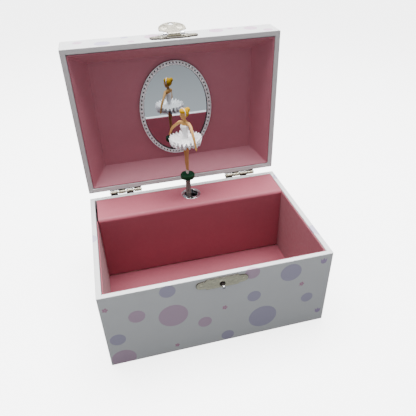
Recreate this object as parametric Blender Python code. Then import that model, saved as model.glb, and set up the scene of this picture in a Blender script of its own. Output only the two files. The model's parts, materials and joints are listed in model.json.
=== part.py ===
"""Musical ballerina jewellery box, open, as an assembly of separate parts.

All lengths below are in millimetres; new_object turns them into metres.
X runs to the right, Y to the back and Z up. The origin is the centre of the
base's underside. Parts of the lid are written as they lie when it is closed,
and an empty on the hinge axis turns them to the open position.
"""

from math import cos, pi, radians, sin, tau

import bmesh
import bpy
from mathutils import Matrix, Vector

MM = 0.001
GAP = 0.3

# Casing.
WIDTH = 152.0
DEPTH = 110.0
BASE_HEIGHT = 63.0
LID_HEIGHT = 21.0
BASE_BOARD = 3.4
LID_BOARD = 3.7
FLOOR_BOARD = 3.5
FLOOR_TOP = 7.5
SPACER_TOP = 6.2
LINING_TOP = 62.5
CARD = 0.8
HALF_W = WIDTH / 2
HALF_D = DEPTH / 2

# Lid in its closed place, and the hinge axis that it turns on.
LID_BOTTOM = BASE_HEIGHT + GAP
LID_TOP = LID_BOTTOM + LID_HEIGHT
HINGE_Y = HALF_D + 2.5
HINGE_Z = BASE_HEIGHT + 0.6
LID_OPEN = radians(90.0)
CEILING_DEPTH = 16.3
CEILING_HALF_W = 60.5
CEILING_HALF_D = 40.7
CEILING_Z = LID_BOTTOM + CEILING_DEPTH

# Bench over the mechanism.
BENCH_FRONT = 24.2
BENCH_TOP = 62.7
BENCH_CARD = 1.1
BENCH_FOLD_R = 2.6
BENCH_LEFT_GAP = 1.6
BENCH_HOLE_R = 5.9

# Barrel hinges: knuckles alternate between the base leaf and the lid leaf.
HINGE_X = 47.5
HINGE_LENGTH = 25.0
KNUCKLE_R = 1.5
HINGE_PIN_R = 0.6
KNUCKLES = 4
LEAF = 0.5
LEAF_DROP = 3.9
KERF_DEPTH = 2.8
KERF_LOW = 59.0
KERF_HIGH = 59.9

# Latch.
LATCH_X = 0.6
PLATE_HALF_W = 16.9
PLATE_HALF_H = 4.1
PLATE_END_HALF_H = 2.8
PLATE_T = 0.7
PLATE_FRONT = -HALF_D - GAP - PLATE_T
BASE_PLATE_Z = 57.7
LID_PLATE_Z = 69.8
POST_Z = 56.4
POST_R = 1.1
POST_HOLE_R = 1.8
NAIL_X = 13.7
NAIL_HOLE_R = 0.7
NAIL_HOLE_DEPTH = 2.6
HASP_Y = -HALF_D - 2.3
HASP_Z = 68.9
HASP_LENGTH = 14.4
HASP_REST = radians(161.0)
HASP_KNUCKLE_R = 1.2
HASP_KNUCKLE_HALF = 4.2
HASP_PIN_R = 0.45
HASP_BORE_R = HASP_PIN_R + 0.12
LUG_R = 1.4
LUG_INNER = 4.6
LUG_OUTER = 7.6

# Dancer, on the vertical shaft of the music movement.
SHAFT_X = 0.0
SHAFT_Y = 39.5
GROMMET_X = 2.0
GROMMET_Y = 40.0
GROMMET_R = 7.6
GROMMET_BORE_R = 5.0
SLEEVE_R = 5.6
SLEEVE_LOW = 60.4
FOLD_Z = 71.5
DISC_BOTTOM = 78.6
DISC_TOP = 81.8
DISC_R = 5.35
FACING = radians(-45.0)
TUTU_Z = 109.8
TUTU_R = 11.9

# Mirror on the lid's ceiling.
MIRROR_Z = 121.0
MIRROR_HALF_W = 28.0
MIRROR_HALF_H = 37.4
MIRROR_RIM = 4.0

# Music movement: gears of one module. A bore's radius leaves room round its shaft.
MODULE = 0.5
ARBOR_R = 1.5
ARBOR_BORE_R = 1.9
KEY_HOLE_R = 4.0
SHAFT_R = 1.0
SHAFT_BORE_R = 1.25
PIVOT_R = 0.75
PIVOT_BORE_R = 0.95
SCREW_R = 1.25
SCREW_BORE_R = 1.6
COMB_SCREW_R = 0.8
COMB_BORE_R = 1.1
COMB_FRONT = 39.0
COMB_THICK = 1.0
BEDPLATE_FRONT = 47.5
BEDPLATE_BACK = 49.5
KEY_Z = 20.5
BARREL_R = 11.5
CROWN_TEETH = 40
CROWN_R = 10.0
PINION_TEETH = 12
CYLINDER_R = 6.5
CYLINDER_LOW = 33.0
CYLINDER_HIGH = 49.0
CYLINDER_GEAR_TEETH = 28
SECOND_PINION_TEETH = 8
SECOND_X = SHAFT_X - MODULE * (CYLINDER_GEAR_TEETH + SECOND_PINION_TEETH) / 2
WHEEL_TEETH = 24
WHEEL_R = MODULE * WHEEL_TEETH / 2
WORM_R = 1.6
WORM_STARTS = 2
WORM_Z = 52.5
WORM_X = SECOND_X - WHEEL_R - WORM_R
STOP_X = 2.0
STOP_Y = 53.0
STOP_TOP = 65.2
STOP_RUN_Z = 60.4
GROOVE_HALF = 1.2
GROOVE_LOW = 56.5

# Colours as (red, green, blue), roughness, metallic.
FINISHES = {
    "printed_paper": ((0.86, 0.86, 0.88), 0.42, 0.0),
    "pink_card": ((0.55, 0.22, 0.26), 0.60, 0.0),
    "bare_board": ((0.52, 0.38, 0.24), 0.80, 0.0),
    "chrome": ((0.78, 0.78, 0.80), 0.15, 1.0),
    "latch_metal": ((0.62, 0.60, 0.48), 0.35, 1.0),
    "hinge_metal": ((0.72, 0.66, 0.50), 0.35, 1.0),
    "spring_steel": ((0.22, 0.18, 0.17), 0.40, 1.0),
    "green_plastic": ((0.01, 0.08, 0.03), 0.35, 0.0),
    "skin_plastic": ((0.72, 0.46, 0.24), 0.40, 0.0),
    "white_tulle": ((0.90, 0.88, 0.88), 0.80, 0.0),
    "mirror_glass": ((0.80, 0.84, 0.84), 0.02, 1.0),
    "silver_plastic": ((0.60, 0.61, 0.62), 0.25, 0.8),
    "movement_zinc": ((0.52, 0.52, 0.54), 0.45, 1.0),
    "movement_steel": ((0.45, 0.46, 0.48), 0.30, 1.0),
    "movement_brass": ((0.72, 0.56, 0.26), 0.30, 1.0),
    "governor_plastic": ((0.85, 0.84, 0.78), 0.50, 0.0),
}


def clear_scene():
    for old in list(bpy.data.objects):
        bpy.data.objects.remove(old)


def finish(name):
    """The Principled material of one finish, made once."""
    found = bpy.data.materials.get(name)
    if found:
        return found
    colour, roughness, metallic = FINISHES[name]
    made = bpy.data.materials.new(name)
    made.use_nodes = True
    shader = made.node_tree.nodes["Principled BSDF"]
    shader.inputs["Base Color"].default_value = (*colour, 1.0)
    shader.inputs["Roughness"].default_value = roughness
    shader.inputs["Metallic"].default_value = metallic
    return made


def new_empty(name, place, parent=None, turn_x=0.0):
    """An empty on a joint's axis. Its place is where its children's own drawing puts the axis."""
    empty = bpy.data.objects.new(name, None)
    bpy.context.scene.collection.objects.link(empty)
    start = parent["place"] if parent else (0.0, 0.0, 0.0)
    empty.location = (Vector(place) - Vector(start)) * MM
    empty.rotation_euler.x = turn_x
    empty.parent = parent
    empty["place"] = place
    return empty


def new_object(name, points, faces, look, frame=None):
    """A mesh object from points in millimetres, riding on an empty when frame is given."""
    start = Vector(frame["place"]) if frame else Vector((0.0, 0.0, 0.0))
    mesh = bpy.data.meshes.new(name)
    mesh.from_pydata([(Vector(p) - start) * MM for p in points], [], faces)
    tidy = bmesh.new()
    tidy.from_mesh(mesh)
    bmesh.ops.recalc_face_normals(tidy, faces=tidy.faces)
    tidy.to_mesh(mesh)
    tidy.free()
    mesh.shade_smooth()
    mesh.set_sharp_from_angle(angle=radians(35.0))
    mesh.materials.append(finish(look))
    made = bpy.data.objects.new(name, mesh)
    bpy.context.scene.collection.objects.link(made)
    made.parent = frame
    return made


def helper(made):
    """Marks an object as a cutter or an added piece, which isn't a part of its own."""
    made.hide_render = True
    made.display_type = "WIRE"
    return made


def combine(target, other, operation):
    step = target.modifiers.new(operation.lower(), "BOOLEAN")
    step.operation = operation
    step.object = helper(other)
    return target


def cut(target, *others):
    for other in others:
        combine(target, other, "DIFFERENCE")
    return target


def join(target, *others):
    for other in others:
        combine(target, other, "UNION")
    return target


def to_xyz(axis, across, up, along):
    """A point from two coordinates of a drawing plane and one along its axis."""
    if axis == "X":
        return (along, across, up)
    if axis == "Y":
        return (across, along, up)
    return (across, up, along)


def prism(name, outline, axis, low, high, look, frame=None):
    """An outline extruded along an axis. Its plane is YZ for X, XZ for Y and XY for Z."""
    count = len(outline)
    points = [to_xyz(axis, a, b, low) for a, b in outline]
    points += [to_xyz(axis, a, b, high) for a, b in outline]
    faces = [tuple(range(count)), tuple(range(count, 2 * count))]
    for i in range(count):
        j = (i + 1) % count
        faces.append((i, j, count + j, count + i))
    return new_object(name, points, faces, look, frame)


def box(name, low, high, look, frame=None):
    outline = [(low[0], low[1]), (high[0], low[1]), (high[0], high[1]), (low[0], high[1])]
    return prism(name, outline, "Z", low[2], high[2], look, frame)


def circle(across, up, radius, segments=24, start=0.0):
    turns = [start + tau * i / segments for i in range(segments)]
    return [(across + radius * cos(t), up + radius * sin(t)) for t in turns]


def arc(across, up, radius, first, last, segments=6):
    """Points of an arc, with its two ends in degrees."""
    turns = [radians(first + (last - first) * i / segments) for i in range(segments + 1)]
    return [(across + radius * cos(t), up + radius * sin(t)) for t in turns]


def rod(name, axis, centre, radius, low, high, look, frame=None, segments=24):
    return prism(name, circle(*centre, radius, segments), axis, low, high, look, frame)


def lathe(name, profile, axis, centre, look, frame=None, segments=24, squash=1.0):
    """A turned solid. The profile is (radius, place along the axis), from one end to the other.

    A profile that starts and ends on the axis is a solid; any other is closed into a ring.
    """
    rows = []
    points = []
    for radius, along in profile:
        if radius == 0.0:
            rows.append([len(points)] * segments)
            points.append(to_xyz(axis, *centre, along))
            continue
        rows.append([len(points) + i for i in range(segments)])
        for a, b in circle(0.0, 0.0, radius, segments):
            points.append(to_xyz(axis, centre[0] + a, centre[1] + b * squash, along))
    if profile[0][0] > 0.0:
        rows.append(rows[0])
    faces = []
    for lower, upper in zip(rows, rows[1:]):
        for i in range(segments):
            j = (i + 1) % segments
            corners = [lower[i], lower[j], upper[j], upper[i]]
            face = tuple(dict.fromkeys(corners))
            if len(face) > 2:
                faces.append(face)
    return new_object(name, points, faces, look, frame)


def tube(name, route, radii, look, frame=None, sides=6):
    """A round bar along a route of points, with one radius for all or one for each point."""
    route = [Vector(p) for p in route]
    radii = radii if isinstance(radii, list) else [radii] * len(route)
    ahead = (route[1] - route[0]).normalized()
    across = ahead.orthogonal().normalized()
    points = []
    for i, spot in enumerate(route):
        before = route[max(i - 1, 0)]
        after = route[min(i + 1, len(route) - 1)]
        ahead = (after - before).normalized()
        across = (across - ahead * across.dot(ahead)).normalized()
        up = ahead.cross(across)
        for a, b in circle(0.0, 0.0, radii[i], sides):
            points.append(spot + across * a + up * b)
    faces = [tuple(range(sides)), tuple(range(len(points) - sides, len(points)))]
    for row in range(len(route) - 1):
        for i in range(sides):
            j = (i + 1) % sides
            low = row * sides
            faces.append((low + i, low + j, low + sides + j, low + sides + i))
    return new_object(name, points, faces, look, frame)


def ball(name, centre, radii, look, frame=None):
    """An ellipsoid of latitude rings."""
    rings = 6
    profile = [(sin(pi * i / rings), -cos(pi * i / rings)) for i in range(rings + 1)]
    profile[0] = (0.0, -1.0)
    profile[-1] = (0.0, 1.0)
    made = lathe(name, profile, "Z", (0.0, 0.0), look, None, 10)
    place = Vector(centre) - (Vector(frame["place"]) if frame else Vector((0, 0, 0)))
    stretch = Matrix.Diagonal((*radii, 1.0))
    made.data.transform(Matrix.Translation(place * MM) @ stretch)
    made.parent = frame
    return made


def gear_outline(teeth, centre, first_tooth, share=0.36):
    """A spur gear's outline with slim teeth. first_tooth is one tooth's middle, in degrees."""
    pitch_r = MODULE * teeth / 2
    outer = pitch_r + 0.36
    root = pitch_r - 0.62
    step = tau / teeth
    points = []
    for i in range(teeth):
        middle = radians(first_tooth) + i * step
        for side, radius, width in ((-1, root, 0.62), (-1, outer, share), (1, outer, share), (1, root, 0.62)):
            turn = middle + side * step * width / 2
            points.append((centre[0] + radius * cos(turn), centre[1] + radius * sin(turn)))
    return points


# ---------------------------------------------------------------- casing


def nail_holes(board, height, frame=None):
    """The two blind holes in a front board that hold a latch plate's nails."""
    for side in (-1, 1):
        spot = (LATCH_X + side * NAIL_X, height)
        ends = (-HALF_D - 1, -HALF_D + NAIL_HOLE_DEPTH)
        cut(board, rod("nail_hole", "Y", spot, NAIL_HOLE_R, *ends, "chrome", frame, 10))


def base_boards():
    inner_w = HALF_W - BASE_BOARD
    inner_d = HALF_D - BASE_BOARD
    front = box("base_front_board", (-HALF_W, -HALF_D, 0), (HALF_W, -inner_d, BASE_HEIGHT), "printed_paper")
    cut(front, rod("post_hole", "Y", (LATCH_X, POST_Z), POST_R + GAP, -HALF_D - 1, -inner_d - 0.8, "chrome"))
    nail_holes(front, BASE_PLATE_Z)
    back = box("base_back_board", (-HALF_W, inner_d, 0), (HALF_W, HALF_D, BASE_HEIGHT), "printed_paper")
    for side in (-1, 1):
        middle = side * HINGE_X
        reach = HINGE_LENGTH / 2 + GAP
        low = (middle - reach, HALF_D - KERF_DEPTH, KERF_LOW)
        high = (middle + reach, HALF_D + 1, KERF_HIGH)
        cut(back, box("hinge_kerf", low, high, "bare_board"))
    ends = (inner_d - 1, HALF_D + 1)
    cut(back, rod("key_hole", "Y", (SHAFT_X, KEY_Z), KEY_HOLE_R, *ends, "bare_board"))
    for spot in MOVEMENT_SCREWS:
        cut(back, rod("screw_hole", "Y", spot, SCREW_BORE_R, *ends, "bare_board", segments=16))
    groove_low = (STOP_X - GROOVE_HALF, inner_d - 1, GROOVE_LOW)
    groove_high = (STOP_X + GROOVE_HALF, STOP_Y + 1.0, BASE_HEIGHT + 1)
    cut(back, box("stop_groove", groove_low, groove_high, "bare_board"))
    for side, name in ((-1, "left"), (1, "right")):
        low_x, high_x = sorted((side * HALF_W, side * inner_w))
        low = (low_x, -inner_d + GAP, 0)
        high = (high_x, inner_d - GAP, BASE_HEIGHT)
        box(f"base_{name}_board", low, high, "printed_paper")
    reach_w = inner_w - GAP
    reach_d = inner_d - GAP
    box("base_floor_board", (-reach_w, -reach_d, 0), (reach_w, reach_d, FLOOR_BOARD), "bare_board")


def tray_lining():
    """The raised floor and the pink card round the open compartment, with no wall at the bench."""
    reach_w = HALF_W - BASE_BOARD - GAP
    front = -(HALF_D - BASE_BOARD - GAP)
    back = BENCH_FRONT - GAP
    spacer_low = (-reach_w, front, FLOOR_BOARD + GAP)
    box("compartment_spacer", spacer_low, (reach_w, back, SPACER_TOP), "bare_board")
    lining_low = (-reach_w, front, SPACER_TOP + GAP)
    lining = box("compartment_lining", lining_low, (reach_w, back, LINING_TOP), "pink_card")
    low = (-reach_w + CARD, front + CARD, FLOOR_TOP)
    high = (reach_w - CARD, back + 1, LINING_TOP + 1)
    cut(lining, box("compartment_hollow", low, high, "pink_card"))


def bench_cover():
    """A folded card: the flap in front of the mechanism, a rounded edge and the top."""
    left = -(HALF_W - BASE_BOARD) + BENCH_LEFT_GAP
    right = HALF_W - BASE_BOARD - GAP
    back = HALF_D - BASE_BOARD - GAP
    fold_y = BENCH_FRONT + BENCH_FOLD_R
    fold_z = BENCH_TOP - BENCH_FOLD_R
    outline = [(BENCH_FRONT, FLOOR_TOP + GAP)]
    outline += arc(fold_y, fold_z, BENCH_FOLD_R, 180, 90)
    outline += [(back, BENCH_TOP), (back, BENCH_TOP - BENCH_CARD)]
    outline += arc(fold_y, fold_z, BENCH_FOLD_R - BENCH_CARD, 90, 180)
    outline += [(BENCH_FRONT + BENCH_CARD, FLOOR_TOP + GAP)]
    cover = prism("bench_cover", outline, "X", left, right, "pink_card")
    ends = (BENCH_TOP - 2 * BENCH_CARD, BENCH_TOP + BENCH_CARD)
    cut(cover, rod("bench_hole", "Z", (GROMMET_X, GROMMET_Y), BENCH_HOLE_R, *ends, "pink_card"))


def grommet():
    """A pressed ring: a domed flange on the bench and a short sleeve through its hole."""
    seat = BENCH_TOP + GAP / 2
    bore = GROMMET_BORE_R
    profile = [(bore, SLEEVE_LOW), (bore, seat + 0.35), (bore + 0.6, seat + 0.75), (GROMMET_R - 1.0, seat + 0.65)]
    profile += [(GROMMET_R, seat + 0.15), (GROMMET_R, seat), (SLEEVE_R, seat), (SLEEVE_R, SLEEVE_LOW)]
    lathe("bench_grommet", profile[::-1], "Z", (GROMMET_X, GROMMET_Y), "chrome", segments=28)


def lid_boards(lid):
    inner_w = HALF_W - LID_BOARD
    inner_d = HALF_D - LID_BOARD
    wall_top = LID_TOP - BASE_BOARD - GAP
    back = box("lid_back_board", (-HALF_W, inner_d, LID_BOTTOM), (HALF_W, HALF_D, wall_top), "printed_paper", lid)
    for side in (-1, 1):
        reach = HINGE_LENGTH / 2 + GAP
        low = (side * HINGE_X - reach, HALF_D - KERF_DEPTH, 2 * HINGE_Z - KERF_HIGH)
        high = (side * HINGE_X + reach, HALF_D + 1, 2 * HINGE_Z - KERF_LOW)
        cut(back, box("hinge_kerf", low, high, "bare_board", lid))
    front_low = (-HALF_W, -HALF_D, LID_BOTTOM)
    front = box("lid_front_board", front_low, (HALF_W, -inner_d, wall_top), "printed_paper", lid)
    nail_holes(front, LID_PLATE_Z, lid)
    for side, name in ((-1, "left"), (1, "right")):
        low_x, high_x = sorted((side * HALF_W, side * inner_w))
        low = (low_x, -inner_d + GAP, LID_BOTTOM)
        high = (high_x, inner_d - GAP, wall_top)
        box(f"lid_{name}_board", low, high, "printed_paper", lid)
    top_low = (-HALF_W, -HALF_D, LID_TOP - BASE_BOARD)
    box("lid_top_board", top_low, (HALF_W, HALF_D, LID_TOP), "printed_paper", lid)


def rectangle(half_w, half_d, z):
    return [(-half_w, -half_d, z), (half_w, -half_d, z), (half_w, half_d, z), (-half_w, half_d, z)]


def lid_lining(lid):
    """A card tray with four slanted sides, open downwards when the lid is closed."""
    rim_w = HALF_W - LID_BOARD - GAP
    rim_d = HALF_D - LID_BOARD - GAP
    rim_z = LID_BOTTOM + GAP
    points = rectangle(rim_w, rim_d, rim_z)
    points += rectangle(CEILING_HALF_W + CARD / 2, CEILING_HALF_D + CARD / 2, CEILING_Z + CARD)
    points += rectangle(rim_w - CARD, rim_d - CARD, rim_z)
    points += rectangle(CEILING_HALF_W, CEILING_HALF_D, CEILING_Z)
    faces = [(4, 5, 6, 7), (12, 13, 14, 15)]
    for i in range(4):
        j = (i + 1) % 4
        faces.append((i, j, 4 + j, 4 + i))
        faces.append((8 + i, 8 + j, 12 + j, 12 + i))
        faces.append((i, j, 8 + j, 8 + i))
    new_object("lid_lining", points, faces, "pink_card", lid)


def oval(half_w, half_h, segments=48):
    return [(half_w * cos(tau * i / segments), half_h * sin(tau * i / segments)) for i in range(segments)]


def mirror(lid):
    """An oval glass inside a moulded rim, both on the lid's ceiling."""
    centre_y = HINGE_Y + HINGE_Z - MIRROR_Z
    seat = CEILING_Z - GAP
    rows = [(0.0, 0.0), (0.3, -2.2), (1.4, -3.0), (MIRROR_RIM - 0.8, -2.4), (MIRROR_RIM, -1.6), (MIRROR_RIM, 0.0)]
    segments = 48
    points = []
    for inset, lift in rows:
        for a, b in oval(MIRROR_HALF_W - inset, MIRROR_HALF_H - inset, segments):
            points.append((a, centre_y + b, seat + lift))
    faces = []
    for row in range(len(rows)):
        after = (row + 1) % len(rows)
        for i in range(segments):
            j = (i + 1) % segments
            faces.append((row * segments + i, row * segments + j, after * segments + j, after * segments + i))
    new_object("mirror_frame", points, faces, "silver_plastic", lid)
    inset = MIRROR_RIM + GAP
    outline = [(a, centre_y + b) for a, b in oval(MIRROR_HALF_W - inset, MIRROR_HALF_H - inset, segments)]
    prism("mirror_glass", outline, "Z", seat - 1.2, seat, "mirror_glass", lid)


# ---------------------------------------------------------------- hinges and latch


def hinge_leaf(name, middle, sign, own_knuckles, frame=None):
    """One leaf. sign -1 is the base's, below the axis, and +1 the lid's, above it."""
    low_x = middle - HINGE_LENGTH / 2
    high_x = middle + HINGE_LENGTH / 2
    far = HALF_D - 2.4
    near = HINGE_Y - 0.8

    def level(down):
        return HINGE_Z + sign * down

    knuckle_end = 1.8
    outline = [(far, level(LEAF_DROP)), (near - LEAF, level(LEAF_DROP)), (near - LEAF, level(knuckle_end))]
    outline += [(near, level(knuckle_end)), (near, level(LEAF_DROP + LEAF)), (far, level(LEAF_DROP + LEAF))]
    leaf = prism(name, outline, "X", low_x, high_x, "hinge_metal", frame)
    step = HINGE_LENGTH / KNUCKLES
    for i in own_knuckles:
        start = low_x + i * step + GAP / 2
        end = low_x + (i + 1) * step - GAP / 2
        knuckle = rod("knuckle", "X", (HINGE_Y, HINGE_Z), KNUCKLE_R, start, end, "hinge_metal", frame, 16)
        low_z, high_z = sorted((level(0.9), level(2.0)))
        tab = box("knuckle_tab", (start, near - LEAF, low_z), (end, near, high_z), "hinge_metal", frame)
        join(leaf, knuckle, tab)
    bore_r = HINGE_PIN_R + 0.15
    cut(leaf, rod("pin_bore", "X", (HINGE_Y, HINGE_Z), bore_r, low_x - 1, high_x + 1, "chrome", frame, 12))


def hinges(lid):
    for side, name in ((-1, "left"), (1, "right")):
        middle = side * HINGE_X
        hinge_leaf(f"{name}_hinge_base_leaf", middle, -1, (0, 2))
        hinge_leaf(f"{name}_hinge_lid_leaf", middle, 1, (1, 3), lid)
        ends = (middle - HINGE_LENGTH / 2 - 0.2, middle + HINGE_LENGTH / 2 + 0.2)
        rod(f"{name}_hinge_pin", "X", (HINGE_Y, HINGE_Z), HINGE_PIN_R, *ends, "chrome", segments=12)


def plate_outline(centre_z):
    """A stamped plate: a tall middle, stepped in to lower rounded ends."""
    waist = 10.4
    half = [(-waist, PLATE_HALF_H), (waist, PLATE_HALF_H), (waist + 0.8, PLATE_END_HALF_H + 0.4)]
    half += arc(PLATE_HALF_W - PLATE_END_HALF_H, 0.0, PLATE_END_HALF_H, 90, 0, 4)
    right = half[1:]
    upper = [(-x, z) for x, z in reversed(right)] + right
    lower = [(x, -z) for x, z in reversed(upper)]
    outline = upper + lower[1:-1]
    return [(LATCH_X + x, centre_z + z) for x, z in outline]


def latch_plate(name, centre_z, frame=None):
    plate = prism(name, plate_outline(centre_z), "Y", PLATE_FRONT, PLATE_FRONT + PLATE_T, "latch_metal", frame)
    for side in (-1, 1):
        spot = (LATCH_X + side * NAIL_X, centre_z)
        ends = (PLATE_FRONT - 1, PLATE_FRONT + 2)
        cut(plate, rod("nail_hole", "Y", spot, NAIL_HOLE_R, *ends, "chrome", frame, 10))
    return plate


def nail(name, spot, frame=None):
    head = PLATE_FRONT - GAP
    profile = [(0.0, -HALF_D + 2.2), (0.4, -HALF_D + 2.2), (0.4, head), (1.0, head)]
    profile += [(0.9, head - 0.35), (0.5, head - 0.6), (0.0, head - 0.7)]
    lathe(name, profile, "Y", spot, "latch_metal", frame, 10)


def latch(lid, hasp_axis):
    base_plate = latch_plate("latch_base_plate", BASE_PLATE_Z)
    ends = (PLATE_FRONT - 1, PLATE_FRONT + 2)
    cut(base_plate, rod("post_hole", "Y", (LATCH_X, POST_Z), POST_HOLE_R, *ends, "chrome"))
    tip = -HALF_D - 4.9
    profile = [(0.0, -HALF_D + 2.4), (POST_R, -HALF_D + 2.4), (POST_R, tip + 0.8)]
    profile += [(POST_R * 0.75, tip + 0.25), (0.0, tip)]
    lathe("latch_post", profile, "Y", (LATCH_X, POST_Z), "chrome", None, 16)
    lid_plate = latch_plate("latch_lid_plate", LID_PLATE_Z, lid)
    for side in (-1, 1):
        low, high = sorted((LATCH_X + side * LUG_INNER, LATCH_X + side * LUG_OUTER))
        join(lid_plate, rod("hasp_lug", "X", (HASP_Y, HASP_Z), LUG_R, low, high, "latch_metal", lid, 16))
    bore_ends = (LATCH_X - LUG_OUTER - 1, LATCH_X + LUG_OUTER + 1)
    cut(lid_plate, rod("lug_bore", "X", (HASP_Y, HASP_Z), HASP_BORE_R, *bore_ends, "chrome", lid, 12))
    pin_ends = (LATCH_X - LUG_OUTER - 0.2, LATCH_X + LUG_OUTER + 0.2)
    rod("hasp_pin", "X", (HASP_Y, HASP_Z), HASP_PIN_R, *pin_ends, "chrome", lid, 12)
    for side, name in ((-1, "left"), (1, "right")):
        nail(f"latch_base_nail_{name}", (LATCH_X + side * NAIL_X, BASE_PLATE_Z))
        nail(f"latch_lid_nail_{name}", (LATCH_X + side * NAIL_X, LID_PLATE_Z), lid)
    hasp(hasp_axis)


def hasp(hasp_axis):
    """The fan, drawn hanging from its pin, with an open notch at its tip for the post."""
    neck = HASP_KNUCKLE_HALF
    lobe = 9.7
    half = [(neck, 0.0), (neck, -2.6)]
    half += [(neck + 1.6, -3.7), (neck + 3.6, -4.5)]
    half += arc(lobe - 1.4, -5.9, 1.4, 90, 0, 3)
    half += [(lobe, -8.0), (8.6, -10.4), (6.4, -12.5), (3.6, -13.8)]
    half += [(1.7, -HASP_LENGTH), (1.5, -11.0)]
    outline = half + [(-x, z) for x, z in reversed(half)]
    outline = [(LATCH_X + x, HASP_Z + z) for x, z in outline]
    thick = 0.7
    fan = prism("hasp", outline, "Y", HASP_Y - thick / 2, HASP_Y + thick / 2, "latch_metal", hasp_axis)
    ends = (LATCH_X - HASP_KNUCKLE_HALF, LATCH_X + HASP_KNUCKLE_HALF)
    join(fan, rod("hasp_knuckle", "X", (HASP_Y, HASP_Z), HASP_KNUCKLE_R, *ends, "latch_metal", hasp_axis, 16))
    bore_ends = (LATCH_X - HASP_KNUCKLE_HALF - 1, LATCH_X + HASP_KNUCKLE_HALF + 1)
    cut(fan, rod("hasp_bore", "X", (HASP_Y, HASP_Z), HASP_BORE_R, *bore_ends, "chrome", hasp_axis, 12))


# ---------------------------------------------------------------- music movement

MOVEMENT_SCREWS = ((-19.5, 38.0), (23.5, 24.0))
COMB_SCREWS = ((22.8, 36.5), (22.8, 45.5))


def bedplate():
    """The cast plate behind the movement, with the comb's step, an arbor arm and two bosses."""
    plate = box("movement_bedplate", (-24, BEDPLATE_FRONT, 8.5), (28, BEDPLATE_BACK, 57.2), "movement_zinc")
    step = box("comb_step", (18.5, 40.3, 31.5), (27, BEDPLATE_FRONT + 0.5, 50.5), "movement_zinc")
    arm_low = (SECOND_X - 3.2, 37.5, 44.4)
    arm = box("arbor_arm", arm_low, (SECOND_X + 1.6, BEDPLATE_FRONT + 0.5, 46.2), "movement_zinc")
    join(plate, step, arm)
    for spot in MOVEMENT_SCREWS:
        ends = (BEDPLATE_BACK - 0.5, HALF_D - BASE_BOARD - GAP)
        join(plate, rod("screw_boss", "Y", spot, 3.0, *ends, "movement_zinc"))
        bore_ends = (BEDPLATE_FRONT - 1, HALF_D)
        cut(plate, rod("screw_bore", "Y", spot, SCREW_BORE_R, *bore_ends, "chrome", segments=16))
    bore_ends = (BEDPLATE_FRONT - 1, BEDPLATE_BACK + 1)
    cut(plate, rod("arbor_bore", "Y", (SHAFT_X, KEY_Z), ARBOR_BORE_R, *bore_ends, "chrome"))
    cut(plate, rod("worm_bore", "Y", (WORM_X, WORM_Z), PIVOT_BORE_R, *bore_ends, "chrome", segments=12))
    cut(plate, rod("second_bore", "Z", (SECOND_X, SHAFT_Y), PIVOT_BORE_R, 43, 47, "chrome", segments=12))
    for spot in COMB_SCREWS:
        cut(plate, rod("comb_bore", "Y", spot, COMB_BORE_R, COMB_FRONT, 45.6, "chrome", segments=12))


def bearing_bridges():
    """The lower bridge steps over the barrel; the upper one holds three shafts."""
    front = BEDPLATE_FRONT - GAP
    lower = box("lower_bearing_bridge", (-14.5, 37.5, 26), (14.5, front, 28), "movement_zinc")
    cut(lower, box("barrel_window", (-12.5, 41.2, 25), (12.5, front + 1, 29), "movement_zinc"))
    cut(lower, rod("shaft_bore", "Z", (SHAFT_X, SHAFT_Y), SHAFT_BORE_R, 25, 29, "chrome", segments=16))
    upper = box("upper_bearing_bridge", (WORM_X - 3.4, 33.0, 55), (5.5, front, 57), "movement_zinc")
    lug = box("worm_lug", (WORM_X - 2.4, 33.0, 50.6), (WORM_X + 2.0, 35.0, 55.5), "movement_zinc")
    join(upper, lug)
    cut(upper, rod("worm_bore", "Y", (WORM_X, WORM_Z), PIVOT_BORE_R, 32, 37, "chrome", segments=12))
    cut(upper, rod("shaft_bore", "Z", (SHAFT_X, SHAFT_Y), SHAFT_BORE_R, 54, 58, "chrome", segments=16))
    cut(upper, rod("second_bore", "Z", (SECOND_X, SHAFT_Y), PIVOT_BORE_R, 54, 58, "chrome", segments=12))


def comb():
    """A steel comb: eighteen teeth that reach to the cylinder, and its two screws."""
    tip_x = CYLINDER_R + 0.75
    root_x = 17.0
    back_x = 26.6
    low_z = CYLINDER_LOW + 0.3
    teeth = 18
    pitch = (CYLINDER_HIGH - CYLINDER_LOW - 0.6) / teeth
    slot = 0.28
    outline = [(back_x, low_z + teeth * pitch), (back_x, low_z)]
    for i in range(teeth):
        base = low_z + i * pitch
        outline += [(tip_x, base + slot / 2), (tip_x, base + pitch - slot / 2)]
        if i < teeth - 1:
            outline += [(root_x, base + pitch - slot / 2), (root_x, base + pitch + slot / 2)]
    back = COMB_FRONT + COMB_THICK
    steel = prism("music_comb", outline, "Y", COMB_FRONT, back, "movement_steel")
    for spot, name in zip(COMB_SCREWS, ("lower", "upper")):
        cut(steel, rod("comb_bore", "Y", spot, COMB_BORE_R, COMB_FRONT - 1, back + 1, "chrome", segments=12))
        head = COMB_FRONT - GAP
        profile = [(0.0, 45.2), (COMB_SCREW_R, 45.2), (COMB_SCREW_R, head), (2.0, head)]
        profile += [(2.0, head - 0.8), (1.6, head - 1.2), (0.0, head - 1.2)]
        lathe(f"comb_screw_{name}", profile, "Y", spot, "movement_steel", None, 12)


def movement_screws():
    for spot, name in zip(MOVEMENT_SCREWS, ("left", "right")):
        head = HALF_D + GAP
        profile = [(0.0, 48.0), (SCREW_R, 48.0), (SCREW_R, head), (3.0, head), (2.7, head + 0.9)]
        profile.append((0.0, head + 1.5))
        lathe(f"movement_screw_{name}", profile[::-1], "Y", spot, "chrome", None, 16)


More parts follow.
